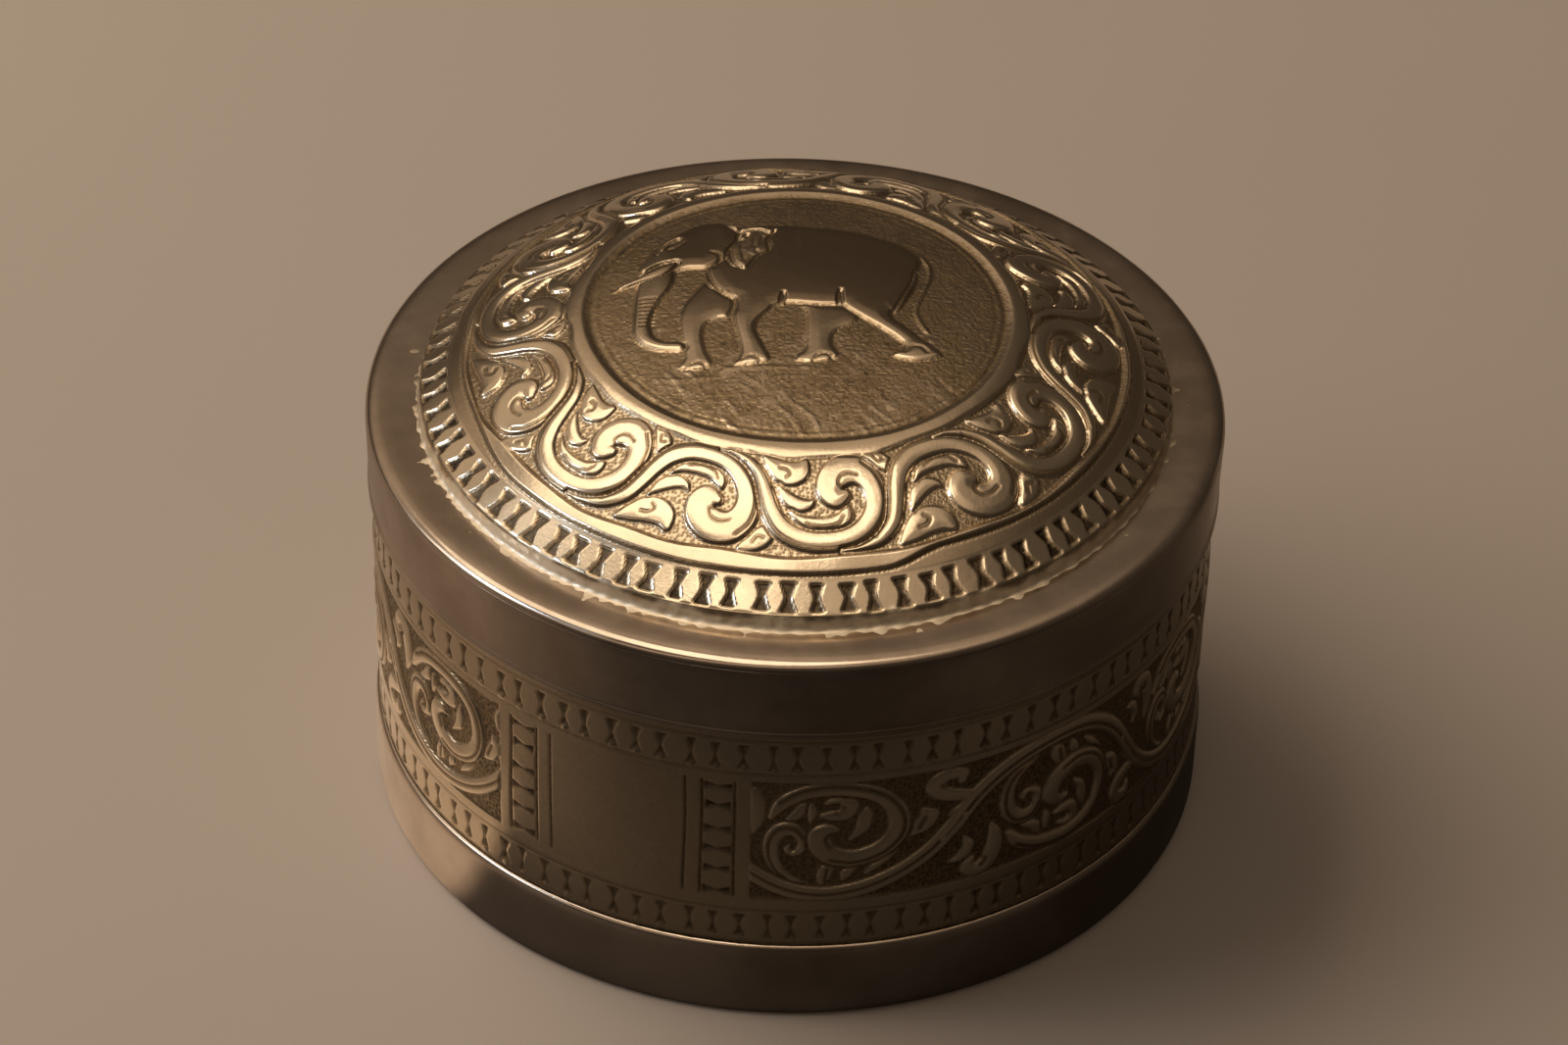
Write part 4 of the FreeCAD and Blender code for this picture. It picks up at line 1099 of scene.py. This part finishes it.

# %% [markdown]
# The box stands on a plain, pale floor with a faint mottle. In reflections alone, which
# the Light Path node tells apart, it carries painted shade in front of the box and a
# painted pool of light beside the foot, and the silver mirrors both.

# %% Floor
FLOOR_HALF = 3.0
floor_work = bmesh.new()
bmesh.ops.create_grid(floor_work, x_segments=2, y_segments=2, size=FLOOR_HALF)
floor_mesh = bpy.data.meshes.new("floor")
floor_work.to_mesh(floor_mesh)
floor_work.free()
floor = bpy.data.objects.new("floor", floor_mesh)
bpy.context.collection.objects.link(floor)
table = Finish("floor_paint")
mottle = table.mix(table.cloud(9.0, 3.0, 0.5), (0.64, 0.562, 0.502, 1), (0.6, 0.527, 0.469, 1))
spot_x = table.axis(table.place(), "X")
spot_y = table.axis(table.place(), "Y")
away = table.node("ShaderNodeVectorMath", {"operation": "LENGTH"}, {0: table.place()}, out="Value")
# Masks for the painted light that reflections see: close round the foot, and in front of and right of the
# box.
near = table.spread(away, 0.075, 0.05)
past = spot_x * 0.55 - spot_y * 0.84
front = table.spread(past, 0.001, 0.007) * near + table.spread(past, -0.035, 0.045) * (1 - near)
further = table.spread(spot_y * -1.0, 0.06, 0.1)
# Painted shade, darker further in front, which the collar, drum and foot mirror.
shade = table.mix(further, (0.085, 0.072, 0.06, 1), (0.03, 0.0255, 0.0215, 1))
# Painted pool of light beside the foot, where no painted shade lies, which the foot mirrors bright.
painted_light_by_foot = table.mix(near, (0.42, 0.355, 0.3, 1), (1.0, 0.88, 0.77, 1))
mirrored = table.node("ShaderNodeLightPath", out="Is Glossy Ray")
# The camera and matte surfaces see the plain mottle. Reflections see the painted shade and light.
seen = table.mix(mirrored, mottle, table.mix(front, painted_light_by_foot, shade))
floor_mesh.materials.append(table.close(table.node("ShaderNodeBsdfPrincipled", {}, {
    "Base Color": seen, "Roughness": 0.85})))
print("floor of", 2 * FLOOR_HALF, "metres laid")

# %% [markdown]
# Polished silver shows what is round it, so the lamps are laid out from the highlights.
# The ceiling and the small blue pane light reflections only. The key lamp lights matte
# surfaces and casts the soft shadow, and stays out of reflections. The window lamp does
# both.

# %% Lamps
def panel_light(name, place, aim, along, size, radiance, colour):
    """Flat lamp that faces aim, with its first side lying along the given direction."""
    lamp = bpy.data.lights.new(name, "AREA")
    lamp.shape = "RECTANGLE"
    lamp.size, lamp.size_y = size
    lamp.energy = radiance * math.pi * size[0] * size[1]
    lamp.color = colour
    back = (Vector(place) - Vector(aim)).normalized()
    side = (Vector(along) - back * back.dot(Vector(along))).normalized()
    holder = bpy.data.objects.new(name, lamp)
    turned = Matrix((side, back.cross(side), back)).transposed()
    holder.matrix_world = Matrix.Translation(place) @ turned.to_4x4()
    bpy.context.collection.objects.link(holder)
    print(name, round(lamp.energy, 2), "watts")
    return holder


ceiling = panel_light("ceiling_light", (-0.28, 0.09, 0.8), (-0.28, 0.09, 0), (-0.8, 0.6, 0),
                      (0.86, 0.5), 2.05, (1.0, 0.84, 0.65))
key = panel_light("key_light", (-0.6, 0.31, 0.76), (0, 0, 0), (0, 1, 0),
                  (0.9, 0.9), 2.15, (1.0, 0.82, 0.63))
panel_light("window_light", (-0.72, -0.05, 0.42), (0, 0, 0.03), (0, 1, 0),
            (0.45, 0.4), 1.5, (1.0, 0.94, 0.86))
pane = panel_light("pane_light", (-0.7, -0.12, 0.5), (0, 0, 0.04), (0, 1, 0),
                   (0.2, 0.2), 12.0, (0.42, 0.66, 1.0))
ceiling.visible_diffuse = False
pane.visible_diffuse = False
key.visible_glossy = False

# %% [markdown]
# Matte surfaces get one even, dim light from the room. Reflections show walls that are
# dark low down and brighter higher up and to the left.

# %% Room
LEFT_WEIGHT = -0.45
world = bpy.data.worlds.new("dim_room")
world.use_nodes = True
room = Finish.of_tree(world.node_tree)
toward = room.node("ShaderNodeTexCoord", out="Generated")
leftward = room.axis(toward, "X") * LEFT_WEIGHT
height_up = room.axis(toward, "Z")
walls = room.node("ShaderNodeValToRGB", {"stops": [
    (0.0, (0.05, 0.038, 0.027)), (0.45, (0.075, 0.057, 0.041)), (0.55, (0.085, 0.065, 0.046)),
    (0.64, (0.19, 0.145, 0.104)), (0.72, (0.46, 0.352, 0.25)), (0.86, (0.54, 0.413, 0.294)),
    (0.98, (0.12, 0.092, 0.065))]}, {"Fac": height_up + leftward})
mirrored = room.node("ShaderNodeLightPath", out="Is Glossy Ray")
lit = room.mix(mirrored, (0.125, 0.098, 0.073, 1), walls)
glow = room.node("ShaderNodeBackground", {}, {"Color": lit})
room.node("ShaderNodeOutputWorld", {}, {"Surface": glow})
bpy.context.scene.world = world
bpy.context.scene.view_settings.view_transform = "Standard"
print("room of", len(world.node_tree.nodes), "nodes")

# %% [markdown]
# The camera stands where the photograph was taken from: half a metre away with a long
# lens, about 36 degrees above the rim, and turned by a degree or so. Its axes are worked
# out from those angles.

# %% Camera
RISE, DIP, YAW, ROLL = (math.radians(degrees) for degrees in (36.33, 1.52, -0.12, 1.57))
RADII_AWAY = 11.406


def camera_axes(elevation, yaw, roll):
    """Right, up and back of a camera that looks down by an elevation."""
    level = math.cos(elevation)
    forward = Vector((math.sin(yaw) * level, math.cos(yaw) * level, -math.sin(elevation)))
    right = Vector((math.cos(yaw), -math.sin(yaw), 0))
    above = right.cross(forward)
    turned_right = math.cos(roll) * right + math.sin(roll) * above
    turned_up = math.cos(roll) * above - math.sin(roll) * right
    return Matrix((turned_right, turned_up, -forward)).transposed()


lens = bpy.data.cameras.new("camera")
lens.sensor_width = 36.0
lens.lens = 112.5
camera = bpy.data.objects.new("camera", lens)
distance = RADII_AWAY * BAND * MM
spot = Vector((0, -distance * math.cos(RISE), RIM * MM + distance * math.sin(RISE)))
camera.matrix_world = Matrix.Translation(spot) @ camera_axes(RISE + DIP, YAW, ROLL).to_4x4()
bpy.context.collection.objects.link(camera)
bpy.context.scene.camera = camera
print("camera at", [round(x, 4) for x in spot])
